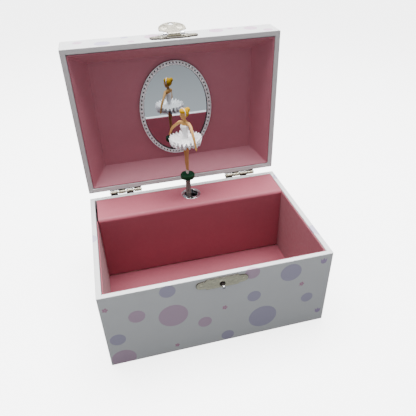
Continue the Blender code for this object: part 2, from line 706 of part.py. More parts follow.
def winding(key_axis):
    """The arbor through the back board and the winged key on its end."""
    spot = (SHAFT_X, KEY_Z)
    rod("winding_arbor", "Y", spot, ARBOR_R, 41.2, 64.0, "movement_steel", key_axis, 16)
    hub = lathe("winding_key", [(0.0, 66.5), (2.6, 66.5), (2.9, 57.6), (0.0, 57.6)], "Y", spot, "chrome", key_axis, 20)
    half = [(1.6, 65.0)] + arc(5.6, 70.4, 4.4, -120, 120, 10) + [(1.2, 71.0)]
    outline = half + [(-x, y) for x, y in reversed(half)]
    wing = prism("key_wing", outline, "Z", KEY_Z - 0.75, KEY_Z + 0.75, "chrome", key_axis)
    join(hub, wing)
    cut(hub, rod("key_bore", "Y", spot, ARBOR_R + GAP, 56, 64.4, "chrome", key_axis, 16))


def barrel(barrel_axis):
    """The cup that holds the mainspring, with crown teeth on its front face."""
    spot = (SHAFT_X, KEY_Z)
    front = 43.1
    web = front + 0.8
    rim = 47.0
    bore = ARBOR_R + GAP
    wall = BARREL_R - 0.8
    profile = [(bore, front), (bore, web), (wall, web), (wall, rim), (BARREL_R, rim), (BARREL_R, front)]
    cup = lathe("spring_barrel", profile, "Y", spot, "movement_brass", barrel_axis, 40)
    points = []
    faces = []
    half = 0.24
    tip = front - 1.05
    for i in range(CROWN_TEETH):
        turn = radians(90.0) + (i + 0.5) * tau / CROWN_TEETH
        out = Vector((cos(turn), 0, sin(turn)))
        side = Vector((-sin(turn), 0, cos(turn))) * half
        middle = Vector((spot[0], 0, spot[1]))
        start = len(points)
        for y in (front + 0.2, tip):
            for radius, sign in ((9.0, -1), (11.0, -1), (11.0, 1), (9.0, 1)):
                points.append(middle + out * radius + side * sign + Vector((0, y, 0)))
        for face in ((0, 1, 2, 3), (4, 5, 6, 7), (0, 1, 5, 4), (1, 2, 6, 5), (2, 3, 7, 6), (3, 0, 4, 7)):
            faces.append(tuple(start + k for k in face))
    teeth = new_object("crown_teeth", points, faces, "movement_brass", barrel_axis)
    join(cup, teeth)
    mainspring(barrel_axis, spot)


def mainspring(barrel_axis, spot):
    """A flat ribbon wound from the arbor out to the barrel's wall."""
    turns = 3.5
    steps = 56
    half = 0.2
    inner = []
    outer = []
    for i in range(steps + 1):
        turn = tau * turns * i / steps
        radius = 2.6 + (BARREL_R - 1.8 - 2.6) * i / steps
        for line, r in ((inner, radius - half), (outer, radius + half)):
            line.append((spot[0] + r * cos(turn), spot[1] + r * sin(turn)))
    outline = inner + outer[::-1]
    points = [(x, y, z) for y in (44.3, 46.4) for x, z in outline]
    count = len(outline)
    faces = []
    for i in range(steps):
        near = (i, i + 1, count - 2 - i, count - 1 - i)
        faces.append(near)
        faces.append(tuple(count + k for k in near))
    for i in range(count):
        j = (i + 1) % count
        faces.append((i, j, count + j, count + i))
    new_object("mainspring", points, faces, "spring_steel", barrel_axis)


def cylinder_group(cylinder_axis):
    """The music cylinder with its pinion below, its gear above and the shaft through them."""
    spot = (SHAFT_X, SHAFT_Y)
    bore = SHAFT_R + GAP
    profile = [(bore, CYLINDER_LOW), (CYLINDER_R - 0.5, CYLINDER_LOW), (CYLINDER_R, CYLINDER_LOW + 0.4)]
    profile += [(CYLINDER_R, CYLINDER_HIGH - 0.4), (CYLINDER_R - 0.5, CYLINDER_HIGH), (bore, CYLINDER_HIGH)]
    lathe("music_cylinder", profile, "Z", spot, "movement_brass", cylinder_axis, 32)
    pinion_z = KEY_Z + CROWN_R
    teeth = gear_outline(PINION_TEETH, spot, 90.0)
    pinion = prism("cylinder_pinion", teeth, "Z", pinion_z - 1.0, pinion_z + 1.0, "movement_brass", cylinder_axis)
    cut(pinion, rod("bore", "Z", spot, bore, 28, 34, "chrome", cylinder_axis, 16))
    teeth = gear_outline(CYLINDER_GEAR_TEETH, spot, 180.0)
    low = CYLINDER_HIGH + 0.4
    gear = prism("cylinder_gear", teeth, "Z", low, low + 1.4, "movement_brass", cylinder_axis)
    cut(gear, rod("bore", "Z", spot, bore, low - 1, low + 3, "chrome", cylinder_axis, 16))
    rod("dancer_shaft", "Z", spot, SHAFT_R, 25.6, 60.8, "movement_steel", cylinder_axis, 16)


def second_group(second_axis):
    spot = (SECOND_X, SHAFT_Y)
    teeth = gear_outline(SECOND_PINION_TEETH, spot, 360.0 / SECOND_PINION_TEETH / 2)
    low = CYLINDER_HIGH + 0.3
    arbor = prism("second_arbor", teeth, "Z", low, low + 1.7, "movement_steel", second_axis)
    join(arbor, rod("arbor_rod", "Z", spot, PIVOT_R, 44.6, 56.6, "movement_steel", second_axis, 12))
    teeth = gear_outline(WHEEL_TEETH, spot, 180.0 + 360.0 / WHEEL_TEETH / 2)
    wheel = prism("worm_wheel", teeth, "Z", WORM_Z - 0.5, WORM_Z + 0.5, "movement_brass", second_axis)
    cut(wheel, rod("wheel_bore", "Z", spot, PIVOT_R + GAP, WORM_Z - 2, WORM_Z + 2, "chrome", second_axis, 12))


def worm_ring(radius, along, columns):
    turns = [tau * i / columns for i in range(columns)]
    return [(WORM_X + radius * sin(t), along, WORM_Z + radius * cos(t)) for t in turns]


def governor_worm(governor_axis):
    """A two-start worm on its shaft.

    Each column of points runs along the shaft, and each next column sits a little further along.
    After a full turn the columns have moved by the lead, so the last one meets the first shifted.
    """
    columns = 16
    pitch = pi * MODULE
    lead = WORM_STARTS * pitch
    core, crest, shaft_r = 1.0, 1.95, 0.7
    ridge = ((-0.30, core), (-0.12, crest), (0.12, crest), (0.30, core))
    ridges = 5
    rows = ridges * len(ridge)
    shift = WORM_STARTS * len(ridge)
    contact = pi / 2
    points = []
    for column in range(columns):
        turn = tau * column / columns
        for row in range(rows):
            place, radius = ridge[row % len(ridge)]
            count = row // len(ridge) - ridges // 2
            along = SHAFT_Y + count * pitch + place + lead * (turn - contact) / tau
            points.append((WORM_X + radius * sin(turn), along, WORM_Z + radius * cos(turn)))

    def at(column, row):
        return column * rows + row

    faces = []
    for column in range(columns - 1):
        for row in range(rows - 1):
            faces.append((at(column, row), at(column, row + 1), at(column + 1, row + 1), at(column + 1, row)))
    end = columns - 1
    for row in range(rows - 1 - shift):
        faces.append((at(end, row), at(end, row + 1), at(0, row + 1 + shift), at(0, row + shift)))
    for row in range(shift):
        faces.append((at(end, 0), at(0, row), at(0, row + 1)))
        faces.append((at(0, rows - 1), at(end, rows - 1 - shift + row), at(end, rows - shift + row)))
    for edge_row, neck, tip in ((0, 35.1, 28.4), (rows - 1, 45.6, 48.8)):
        inner = len(points)
        points += worm_ring(shaft_r, neck, columns)
        outer = len(points)
        points += worm_ring(shaft_r, tip, columns)
        for column in range(columns):
            after = (column + 1) % columns
            faces.append((at(column, edge_row), at(after, edge_row), inner + after, inner + column))
            faces.append((inner + column, inner + after, outer + after, outer + column))
        faces.append(tuple(range(outer, outer + columns)))
    new_object("governor_worm", points, faces, "movement_steel", governor_axis)


def governor_fly(governor_axis):
    """The two-winged fly that the air slows."""
    hub = rod("governor_fly", "Y", (WORM_X, WORM_Z), 1.5, 28.2, 32.4, "governor_plastic", governor_axis, 16)
    wing_low = (WORM_X - 4.4, 28.4, WORM_Z - 0.4)
    wing_high = (WORM_X + 4.4, 32.2, WORM_Z + 0.4)
    join(hub, box("fly_wing", wing_low, wing_high, "governor_plastic", governor_axis))
    cut(hub, rod("fly_bore", "Y", (WORM_X, WORM_Z), 1.0, 27, 34, "chrome", governor_axis, 12))


def stop_wire(stop_axis):
    """A bent wire: up through the back board's groove, and forward over the fly."""
    bend = 1.0
    route = [(STOP_X, STOP_Y, STOP_TOP), (STOP_X, STOP_Y, STOP_RUN_Z + bend)]
    route += [(STOP_X, STOP_Y - 0.35, STOP_RUN_Z + 0.3), (STOP_X, STOP_Y - bend, STOP_RUN_Z)]
    route += [(STOP_X - 0.3, 50.8, STOP_RUN_Z), (STOP_X - bend, 50.2, STOP_RUN_Z)]
    route += [(WORM_X + bend, 50.2, STOP_RUN_Z), (WORM_X + 0.3, 49.9, STOP_RUN_Z)]
    route += [(WORM_X, 49.2, STOP_RUN_Z), (WORM_X, 29.0, STOP_RUN_Z)]
    tube("stop_wire", route, 0.6, "movement_steel", stop_axis, 8)


# ---------------------------------------------------------------- dancer


def dancer_spring(fold_axis):
    """A close-wound coil between the shaft's end and the disc."""
    coil_r = 1.55
    wire_r = 0.42
    low = 61.4
    high = DISC_BOTTOM - GAP - wire_r
    turns = 9
    per_turn = 10
    count = turns * per_turn
    route = []
    for i in range(count + 1):
        turn = tau * i / per_turn
        height = low + (high - low) * i / count
        route.append((SHAFT_X + coil_r * cos(turn), SHAFT_Y + coil_r * sin(turn), height))
    tube("dancer_spring", route, wire_r, "spring_steel", fold_axis, 4)


def local(across, ahead, z):
    """A dancer's point. across is to her left, ahead is where she faces."""
    x = across * cos(FACING) + ahead * sin(FACING)
    y = across * sin(FACING) - ahead * cos(FACING)
    return (SHAFT_X + x, SHAFT_Y + y, z)


def dancer(spin_axis):
    disc = [(0.0, DISC_BOTTOM), (DISC_R - 0.5, DISC_BOTTOM), (DISC_R, DISC_BOTTOM + 0.5)]
    disc += [(DISC_R, DISC_TOP - 0.5), (DISC_R - 0.5, DISC_TOP), (0.0, DISC_TOP)]
    lathe("dancer_disc", disc, "Z", (SHAFT_X, SHAFT_Y), "green_plastic", spin_axis, 28)
    legs = [(0.0, DISC_TOP + GAP), (0.7, DISC_TOP + GAP), (1.1, 85.5), (1.3, 88), (1.7, 93), (1.5, 96)]
    legs += [(1.9, 101), (2.1, 105), (1.9, TUTU_Z - 2.0), (0.0, TUTU_Z - 2.0)]
    lathe("dancer_legs", legs, "Z", (SHAFT_X, SHAFT_Y), "skin_plastic", spin_axis, 12)
    tutu = [(0.0, TUTU_Z - 1.6), (6.0, TUTU_Z - 2.2), (TUTU_R - 0.6, TUTU_Z - 1.5), (TUTU_R, TUTU_Z)]
    tutu += [(TUTU_R - 0.6, TUTU_Z + 1.2), (6.0, TUTU_Z + 2.2), (2.6, TUTU_Z + 2.6), (0.0, TUTU_Z + 2.6)]
    lathe("dancer_tutu", tutu, "Z", (SHAFT_X, SHAFT_Y), "white_tulle", spin_axis, 24)
    waist = TUTU_Z + 2.6 + GAP
    torso = [(0.0, waist), (2.3, waist), (2.0, 115.5), (2.6, 119.5), (2.9, 122.5), (2.7, 124.6), (1.2, 126.2)]
    torso += [(1.0, 128.5), (0.0, 128.5)]
    body = lathe("dancer_body", torso, "Z", (SHAFT_X, SHAFT_Y), "skin_plastic", spin_axis, 12)
    join(body, ball("head", (SHAFT_X - 0.2, SHAFT_Y, 131.2), (3.5, 3.8, 3.9), "skin_plastic", spin_axis))
    right = [(-1.2, 0, 124.6), (-4.0, 0.2, 124.2), (-8.6, -1.0, 121.3), (-13.2, -1.8, 116.6), (-14.6, -2.0, 112.8)]
    left = [(1.2, 0, 124.6), (3.7, 0.4, 123.6), (8.4, 3.6, 120.5), (11.6, 5.2, 114.2), (12.9, 5.6, 106.6)]
    for side, joints in (("right_arm", right), ("left_arm", left)):
        route = [local(*spot) for spot in joints]
        join(body, tube(side, route, [1.0, 1.1, 0.9, 0.75, 0.6], "skin_plastic", spin_axis, 8))


def main():
    clear_scene()
    lid = new_empty("lid_axis", (0.0, HINGE_Y, HINGE_Z), None, -LID_OPEN)
    hasp_axis = new_empty("hasp_axis", (LATCH_X, HASP_Y, HASP_Z), lid, -HASP_REST)
    key_axis = new_empty("key_axis", (SHAFT_X, HALF_D, KEY_Z))
    barrel_axis = new_empty("barrel_axis", (SHAFT_X, 43.1, KEY_Z))
    cylinder_axis = new_empty("cylinder_axis", (SHAFT_X, SHAFT_Y, CYLINDER_LOW))
    second_axis = new_empty("second_axis", (SECOND_X, SHAFT_Y, WORM_Z))
    governor_axis = new_empty("governor_axis", (WORM_X, SHAFT_Y, WORM_Z))
    stop_axis = new_empty("stop_axis", (STOP_X, STOP_Y, STOP_TOP))
    fold_axis = new_empty("fold_axis", (SHAFT_X, SHAFT_Y, FOLD_Z))
    spin_axis = new_empty("spin_axis", (SHAFT_X, SHAFT_Y, DISC_BOTTOM), fold_axis)
    base_boards()
    tray_lining()
    bench_cover()
    grommet()
    lid_boards(lid)
    lid_lining(lid)
    mirror(lid)
    hinges(lid)
    latch(lid, hasp_axis)
    bedplate()
    bearing_bridges()
    comb()
    movement_screws()
    winding(key_axis)
    barrel(barrel_axis)
    cylinder_group(cylinder_axis)
    second_group(second_axis)
    governor_worm(governor_axis)
    governor_fly(governor_axis)
    stop_wire(stop_axis)
    dancer_spring(fold_axis)
    dancer(spin_axis)


main()
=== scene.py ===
"""Looks of the musical ballerina jewellery box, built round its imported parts.

Lengths are in millimetres, and build() turns them into metres. X runs to the right, Y to the
back and Z up, with the origin under the middle of the base. The lid stands open, so its pieces
are drawn in the lid's own frame, as a box lying on its back, and LID_PLACE turns them upright.
"""

import json
import random
from math import atan2, cos, hypot, pi, radians, sin, sqrt, tau

import bmesh
import bpy
from mathutils import Matrix, Quaternion, Vector
from mathutils.geometry import delaunay_2d_cdt


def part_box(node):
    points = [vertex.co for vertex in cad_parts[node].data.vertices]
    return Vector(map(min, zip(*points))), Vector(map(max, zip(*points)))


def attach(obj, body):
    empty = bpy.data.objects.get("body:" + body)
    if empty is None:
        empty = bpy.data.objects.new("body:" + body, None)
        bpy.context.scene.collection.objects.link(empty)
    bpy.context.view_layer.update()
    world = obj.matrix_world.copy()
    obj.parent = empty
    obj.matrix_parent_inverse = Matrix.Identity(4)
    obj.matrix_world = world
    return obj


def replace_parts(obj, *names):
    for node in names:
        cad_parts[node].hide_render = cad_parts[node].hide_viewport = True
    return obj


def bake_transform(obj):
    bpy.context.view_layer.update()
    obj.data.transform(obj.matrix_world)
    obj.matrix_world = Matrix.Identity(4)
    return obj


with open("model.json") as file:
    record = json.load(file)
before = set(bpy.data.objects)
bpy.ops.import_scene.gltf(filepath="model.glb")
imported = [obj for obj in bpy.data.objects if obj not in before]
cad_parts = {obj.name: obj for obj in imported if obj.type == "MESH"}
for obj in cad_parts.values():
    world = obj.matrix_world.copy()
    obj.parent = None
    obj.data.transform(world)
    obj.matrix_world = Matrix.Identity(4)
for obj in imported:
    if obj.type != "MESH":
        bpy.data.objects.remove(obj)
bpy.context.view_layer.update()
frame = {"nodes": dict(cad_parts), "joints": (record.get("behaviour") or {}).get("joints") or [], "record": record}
MM = 0.001


def span(node):
    """A CAD node's lowest and highest corners."""
    low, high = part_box(node)
    return low / MM, high / MM


def joint_place(name):
    joint = next(j for j in frame["joints"] if j["name"] == name)
    return Vector(joint["pos_m"]) / MM


def turned_about(place, degrees_x):
    return Matrix.Translation(place) @ Matrix.Rotation(radians(degrees_x), 4, "X")


# Sizes read from the frame.
front_low, front_high = span("base_front_board")
HALF_W = front_high.x
HALF_D = -front_low.y
BASE_H = front_high.z
BASE_WALL = front_high.y - front_low.y
panel_low, panel_high = span("lid_top_board")
wall_low, wall_high = span("lid_front_board")
LID_BACK = panel_high.y
LID_MIDDLE = (panel_low.z + panel_high.z) / 2
LID_H = LID_BACK - wall_low.y
LID_WALL = wall_high.z - wall_low.z
LID_PANEL = panel_high.y - panel_low.y
LID_PLACE = Matrix(((1, 0, 0, 0), (0, 0, -1, LID_BACK), (0, 1, 0, LID_MIDDLE), (0, 0, 0, 1)))

# Latch and hinge pieces are drawn as they lie when the lid is closed, and LID_OPEN opens them.
# The hasp is drawn hanging from its pin, which is at its own origin.
HINGE = joint_place("lid_hinge")
LID_OPEN = turned_about(HINGE, -90) @ Matrix.Translation(-HINGE)
HASP_OPEN = turned_about(joint_place("hasp_hinge"), -90 - 161)


def closed_span(node):
    """span() of a piece on the lid, in the place that it has when the lid is closed."""
    corners = [LID_OPEN.inverted() @ corner for corner in span(node)]
    low = Vector([min(c[i] for c in corners) for i in range(3)])
    high = Vector([max(c[i] for c in corners) for i in range(3)])
    return low, high


def middle(node, find=span):
    low, high = find(node)
    return (low + high) / 2


def facing(turn):
    """A frame on the dancer's axis: X to her left, Y where she faces and Z up."""
    spot = middle("dancer_disc")
    c, s = cos(radians(turn)), sin(radians(turn))
    return Matrix(((c, s, 0, spot.x), (s, -c, 0, spot.y), (0, 0, 1, 0), (0, 0, 0, 1)))


BODY_PLACE = facing(-45)
HEAD_PLACE = Matrix.Translation((0, 0, -0.8)) @ facing(-70)


# ---------------------------------------------------------------- camera and studio


def add_object(name, data):
    made = bpy.data.objects.new(name, data)
    bpy.context.scene.collection.objects.link(made)
    return made


def point_at(made, place, aim, roll=0.0):
    """Puts a camera or a lamp at one point, facing another."""
    made.location = Vector(place) * MM
    made.rotation_mode = "QUATERNION"
    towards = (Vector(aim) - Vector(place)).to_track_quat("-Z", "Y")
    made.rotation_quaternion = towards @ Quaternion((0, 0, 1), radians(roll))


def add_camera():
    data = bpy.data.cameras.new("camera")
    data.lens = 37.59
    data.sensor_width = 36.0
    made = add_object("camera", data)
    point_at(made, (-51.4, -243.3, 250.6), (10.6, 20.0, 60.8), -1.73)
    bpy.context.scene.camera = made


def add_softbox(name, place, aim, width, depth, power):
    data = bpy.data.lights.new(name, "AREA")
    data.shape = "RECTANGLE"
    data.size = width * MM
    data.size_y = depth * MM
    data.energy = power
    point_at(add_object(name, data), place, aim)


def add_backdrop(name, points, faces, colour, **settings):
    """A surface that isn't part of the object. Its points are in metres."""
    mesh = bpy.data.meshes.new(name)
    mesh.from_pydata(points, [], faces)
    mesh.shade_smooth()
    mesh.materials.append(Look(name, colour, 0.6, **settings).material)
    made = add_object(name, mesh)
    return made


def add_sweep():
    """A round floor that curves up into a wall, which only the camera sees."""
    reach, bend, height, segments = 1.6, 0.7, 2.6, 96
    profile = [(0.0, 0.0)] + arc(reach - bend, bend, bend, -90, 0, 12) + [(reach, height)]
    turns = [tau * i / segments for i in range(segments)]
    points = [(r * cos(t), r * sin(t), z) for r, z in profile for t in turns]
    faces = grid_faces(len(profile), segments)
    made = add_backdrop("pale_sweep", points, faces, (0.88, 0.88, 0.89), emission_strength=4.0)
    made.visible_diffuse = False
    made.visible_glossy = False
    made.visible_shadow = False


def add_ground(name, half, colour, drop):
    """A level square under the box, which the camera doesn't see. It shades the box and its mirror."""
    points = [(-half, -half, 0), (half, -half, 0), (half, half, 0), (-half, half, 0)]
    made = add_backdrop(name, points, [(0, 1, 2, 3)], colour)
    made.location.z = -drop * MM
    made.visible_camera = False


def add_studio():
    add_softbox("overhead", (0, 150, 680), (0, 150, 0), 700, 420, 17.0)
    world = bpy.data.worlds.new("studio")
    world.use_nodes = True
    sky = world.node_tree.nodes["Background"]
    sky.inputs["Color"].default_value = (0.95, 0.97, 1.0, 1.0)
    sky.inputs["Strength"].default_value = 0.62
    bpy.context.scene.world = world
    add_sweep()
    add_ground("table", 2.5, (0.32, 0.325, 0.33), 0.4)
    add_ground("mat", 0.19, (0.045, 0.048, 0.052), 0.2)


# ---------------------------------------------------------------- materials


class Look:
    """A Principled material, with procedural detail fixed to the piece that wears it."""

    def __init__(self, name, colour, roughness, metallic=0.0, **settings):
        self.material = bpy.data.materials.new(name)
        self.material.use_nodes = True
        self.tree = self.material.node_tree
        self.shader = self.tree.nodes["Principled BSDF"]
        self.colour = (*colour, 1.0)
        values = {"base_color": self.colour, "roughness": roughness, "metallic": metallic, **settings}
        for key, value in values.items():
            socket = key.replace("_", " ").title().replace("Ior", "IOR")
            self.shader.inputs[socket].default_value = value

    def add(self, kind, **inputs):
        """A node, with each input set to a value or linked to a socket."""
        made = self.tree.nodes.new(kind)
        for key, value in inputs.items():
            self.feed(made.inputs[key.replace("_", " ")], value)
        return made

    def feed(self, socket, value):
        if isinstance(value, bpy.types.NodeSocket):
            self.tree.links.new(value, socket)
        else:
            socket.default_value = value

    def noise(self, size, detail, stretch):
        """Noise from 0 to 1 with features about size millimetres across, longer where stretched."""
        place = self.add("ShaderNodeTexCoord").outputs["Object"]
        scale = [1 / (size * MM * k) for k in stretch]
        mapping = self.add("ShaderNodeMapping", Vector=place, Scale=scale)
        made = self.add("ShaderNodeTexNoise", Vector=mapping.outputs["Vector"], Scale=1.0, Detail=detail)
        return made.outputs["Fac"]

    def spread(self, value, low, high, start=0.3, end=0.7):
        """A value between start and end, spread over low to high."""
        ends = {"From_Min": start, "From_Max": end, "To_Min": low, "To_Max": high}
        return self.add("ShaderNodeMapRange", Value=value, **ends).outputs["Result"]

    def tint(self, share, colour):
        """Mixes another colour in by a share from 0 to 1, over what is already there."""
        mix = self.tree.nodes.new("ShaderNodeMix")
        mix.data_type = "RGBA"
        factor, before, after = mix.inputs[0], mix.inputs[6], mix.inputs[7]
        socket = self.shader.inputs["Base Color"]
        self.feed(factor, share)
        self.feed(before, socket.links[0].from_socket if socket.links else self.colour)
        self.feed(after, (*colour, 1.0))
        self.feed(socket, mix.outputs[2])
        return self

    def mottle(self, size, depth, detail=2.0, stretch=(1, 1, 1)):
        """Uneven colour: patches that are darker by up to depth."""
        darker = [c * (1 - depth) for c in self.colour[:3]]
        return self.tint(self.spread(self.noise(size, detail, stretch), 0.0, 1.0), darker)

    def uneven_gloss(self, size, low, high, stretch=(1, 1, 1)):
        value = self.spread(self.noise(size, 3.0, stretch), low, high)
        self.feed(self.shader.inputs["Roughness"], value)
        return self

    def grain(self, size, height, detail=2.0, stretch=(1, 1, 1)):
        """Bumps of that size and height, in millimetres, over any bumps already there."""
        bump = self.add("ShaderNodeBump", Height=self.noise(size, detail, stretch), Distance=height * MM)
        socket = self.shader.inputs["Normal"]
        if socket.links:
            self.feed(bump.inputs["Normal"], socket.links[0].from_socket)
        self.feed(socket, bump.outputs["Normal"])
        return self


def paper(name, colour):
    """Coated wrapping paper: faint fibres, a soft shine, and handling marks."""
    look = Look(name, colour, 0.4, coat_weight=0.25, coat_roughness=0.25)
    look.mottle(9.0, 0.035).mottle(0.6, 0.02)
    look.uneven_gloss(5.0, 0.34, 0.46)
    return look.grain(0.5, 0.012).grain(3.5, 0.05)


def card(name, colour):
    """Paper-faced card: fine fibres lying one way and a slightly cloudy colour."""
    look = Look(name, colour, 0.62, sheen_weight=0.12, sheen_roughness=0.5)
    look.mottle(14.0, 0.07).mottle(0.5, 0.06, 3.0, (1, 1, 4))
    look.uneven_gloss(2.5, 0.55, 0.68)
    return look.grain(0.35, 0.02, 3.0, (1, 1, 3)).grain(6.0, 0.06)


def plated(name, colour, roughness, worn, metallic=1.0, brush=(1, 1, 1)):
    """Plated metal with fine scratches, and dull patches where it is worn."""
    look = Look(name, colour, roughness, metallic)
    look.mottle(1.6, worn, 3.0).uneven_gloss(0.8, roughness * 0.75, roughness * 1.4, brush)
    return look.grain(0.25, 0.006, 3.0, brush)


def moulded(name, colour, roughness, shine=0.5, metallic=0.0, sheen=0.0):
    """Moulded plastic: a soft gloss with faint flow marks."""
    look = Look(name, colour, roughness, metallic, specular_ior_level=shine, sheen_weight=sheen)
    look.mottle(2.2, 0.08).uneven_gloss(1.5, roughness * 0.85, roughness * 1.2)
    return look.grain(0.8, 0.012)


def hair(name):
    """Painted yellow plastic, darker in the grooves between the strands."""
    look = Look(name, (0.50, 0.275, 0.0), 0.55, specular_ior_level=0.15)
    look.mottle(0.5, 0.35, 2.0, (1, 1, 5)).mottle(2.0, 0.15)
    return look.grain(0.3, 0.03, 2.0, (1, 1, 6))


def tulle(name):
    """Gathered white tulle: a fine woven bump, a sheen, and a darker lilac tint along its hems that is painted
    shade.
    """
    look = Look(name, (0.96, 0.955, 0.96), 0.75, sheen_weight=0.3, sheen_roughness=0.4)
    rim = look.add("ShaderNodeAttribute")
    rim.attribute_name = "hem"
    look.tint(look.spread(rim.outputs["Fac"], 0.0, 0.45, 0.55, 1.0), (0.62, 0.50, 0.62))
    return look.mottle(0.9, 0.08).grain(0.16, 0.02)


def board(name):
    """Bare pressed board with short brown fibres."""
    look = Look(name, (0.46, 0.33, 0.21), 0.85)
    return look.mottle(0.8, 0.35, 4.0, (3, 1, 1)).mottle(8.0, 0.12).grain(0.5, 0.05, 4.0)


def silvered(name):
    return Look(name, (0.51, 0.56, 0.59), 0.015, 1.0).mottle(30.0, 0.03)


FINISHES = (
    ("white_paper", paper, (0.79, 0.797, 0.80)),
    # A darker copy of the white paper for the lid's rim: painted shade.
    ("rim_paper_painted_shade", paper, (0.60, 0.585, 0.585)),
    ("pink_print", paper, (0.665, 0.49, 0.62)),
    ("lilac_print", paper, (0.535, 0.50, 0.645)),
    ("rose_print", paper, (0.62, 0.33, 0.46)),
    ("violet_print", paper, (0.50, 0.39, 0.60)),
    ("pink_card", card, (0.385, 0.087, 0.123)),
    # A darker copy of the pink card for the compartment: painted shade.
    ("tray_card", card, (0.265, 0.053, 0.077)),
    # A lighter copy of the pink card for the lid's lining: painted light.
    ("lid_card", card, (0.405, 0.13, 0.17)),
    ("chrome", plated, (0.83, 0.83, 0.85), 0.12, 0.06),
    ("latch_metal", plated, (0.82, 0.79, 0.60), 0.36, 0.18, 0.35),
    # A darker copy of the latch metal for the lid's plate and the hasp, which face the lamp: painted shade.
    ("hasp_metal", plated, (0.44, 0.41, 0.33), 0.30, 0.3, 0.7),
    ("hinge_metal", plated, (0.56, 0.51, 0.39), 0.24, 0.25),
    ("dull_nickel", plated, (0.60, 0.59, 0.56), 0.36, 0.2),
    # Near-black metal that is painted shade: hole walls, hinge plates, tabs and pins, and the latch plates' top
    # edges.
    ("bare_edge", plated, (0.035, 0.024, 0.02), 0.55, 0.3, 0.3),
    ("movement_zinc", plated, (0.36, 0.36, 0.38), 0.45, 0.12),
    ("movement_steel", plated, (0.46, 0.47, 0.49), 0.28, 0.12, 1.0, (8, 1, 1)),
    ("movement_brass", plated, (0.72, 0.54, 0.24), 0.26, 0.15),
    ("spring_steel", plated, (0.33, 0.28, 0.26), 0.30, 0.25),
    ("governor_plastic", moulded, (0.82, 0.81, 0.75), 0.5),
    ("green_plastic", moulded, (0.001, 0.045, 0.014), 0.32, 0.2),
    ("skin_plastic", moulded, (0.60, 0.325, 0.105), 0.5, 0.3),
    ("leg_plastic", moulded, (0.50, 0.255, 0.09), 0.45, 0.3),
    ("silver_plastic", moulded, (0.90, 0.91, 0.93), 0.28, 0.5, 0.2),
    # Near-black plastic that paints shade between the mirror rim's beads and along its walls.
    ("silver_painted_shade", moulded, (0.018, 0.018, 0.02), 0.6),
    ("shoe_satin", moulded, (0.80, 0.68, 0.66), 0.35),
    ("bodice_satin", moulded, (0.86, 0.85, 0.87), 0.45, 0.5, 0.0, 0.2),
    ("lip_paint", moulded, (0.45, 0.08, 0.09), 0.3),
    ("eye_paint", moulded, (0.03, 0.02, 0.015), 0.2),
    ("bare_board", board),
    ("yellow_hair", hair),
    ("white_tulle", tulle),
    ("mirror_glass", silvered),
)


def make_looks():
    return {name: kind(name, *values).material for name, kind, *values in FINISHES}


# ---------------------------------------------------------------- mesh helpers


# The doll's looks that have no material slot of their own in the record.
DOLL_LOOKS = ("leg_plastic", "shoe_satin", "lip_paint", "eye_paint", "yellow_hair")
dict.fromkeys(DOLL_LOOKS, "skin_plastic")


def build(name, shape, looks, body=None, place=None, marks=None, sharp=40.0, slot=None):
    """A piece from (points, faces) in millimetres. marks gives each face the number of its look."""
    looks = [looks] if isinstance(looks, str) else looks
    place = place or Matrix.Identity(4)
    mesh = bpy.data.meshes.new(name)
    mesh.from_pydata([place @ Vector(p) * MM for p in shape[0]], [], shape[1])
    for look in looks:
        mesh.materials.append(LOOKS[look])
    if marks:
        mesh.polygons.foreach_set("material_index", marks)
    work = bmesh.new()
    work.from_mesh(mesh)
    bmesh.ops.remove_doubles(work, verts=work.verts, dist=0.003 * MM)
    bmesh.ops.recalc_face_normals(work, faces=work.faces)
    work.to_mesh(mesh)
    work.free()
    made = add_object(name, mesh)
    soften(made, sharp)
    if body:
        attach(made, body)
    return made


def soften(made, sharp):
    """Smooth shading with hard edges past an angle, and flat faces kept flat."""
    made.data.shade_smooth()
    made.data.set_sharp_from_angle(angle=radians(sharp))
    weighted = made.modifiers.new("flat_faces", "WEIGHTED_NORMAL")
    weighted.keep_sharp = True


def modify(made, kind, **settings):
    step = made.modifiers.new(kind.lower(), kind)
    for key, value in settings.items():
        setattr(step, key, value)


def bevel(made, width, segments, angle):
    modify(
        made, "BEVEL", width=width * MM, segments=segments, limit_method="ANGLE", angle_limit=radians(angle)
    )


def apply_modifiers(made):
    graph = bpy.context.evaluated_depsgraph_get()
    mesh = bpy.data.meshes.new_from_object(made.evaluated_get(graph))
    made.modifiers.clear()
    made.data = mesh


def combine(made, others, operation, sharp):
    made.modifiers.clear()
    for other in others:
        other.modifiers.clear()
        modify(made, "BOOLEAN", object=other, operation=operation, material_mode="TRANSFER")
    apply_modifiers(made)
    for other in others:
        bpy.data.objects.remove(other)
    soften(made, sharp)


def carve(made, *cutters, sharp=40.0):
    """Cuts the cutters out of a piece and removes them."""
    combine(made, cutters, "DIFFERENCE", sharp)


def unite(made, *others, sharp=40.0):
    combine(made, others, "UNION", sharp)


def grid_faces(rows, columns, closed_rows=False):
    """Quads over rows of points, which close round their columns and, if asked, their rows."""
    faces = []
    for r in range(rows if closed_rows else rows - 1):
        for c in range(columns):
            after_r = (r + 1) % rows * columns
            after_c = (c + 1) % columns
            faces.append((r * columns + c, r * columns + after_c, after_r + after_c, after_r + c))
    return faces


def capped(rows, columns):
    """grid_faces() with the first and the last row closed."""
    ends = [tuple(range(columns)), tuple(range((rows - 1) * columns, rows * columns))]
    return grid_faces(rows, columns) + ends


def on_axis(axis, across, up, along):
    return {"X": (along, across, up), "Y": (across, along, up), "Z": (across, up, along)}[axis]


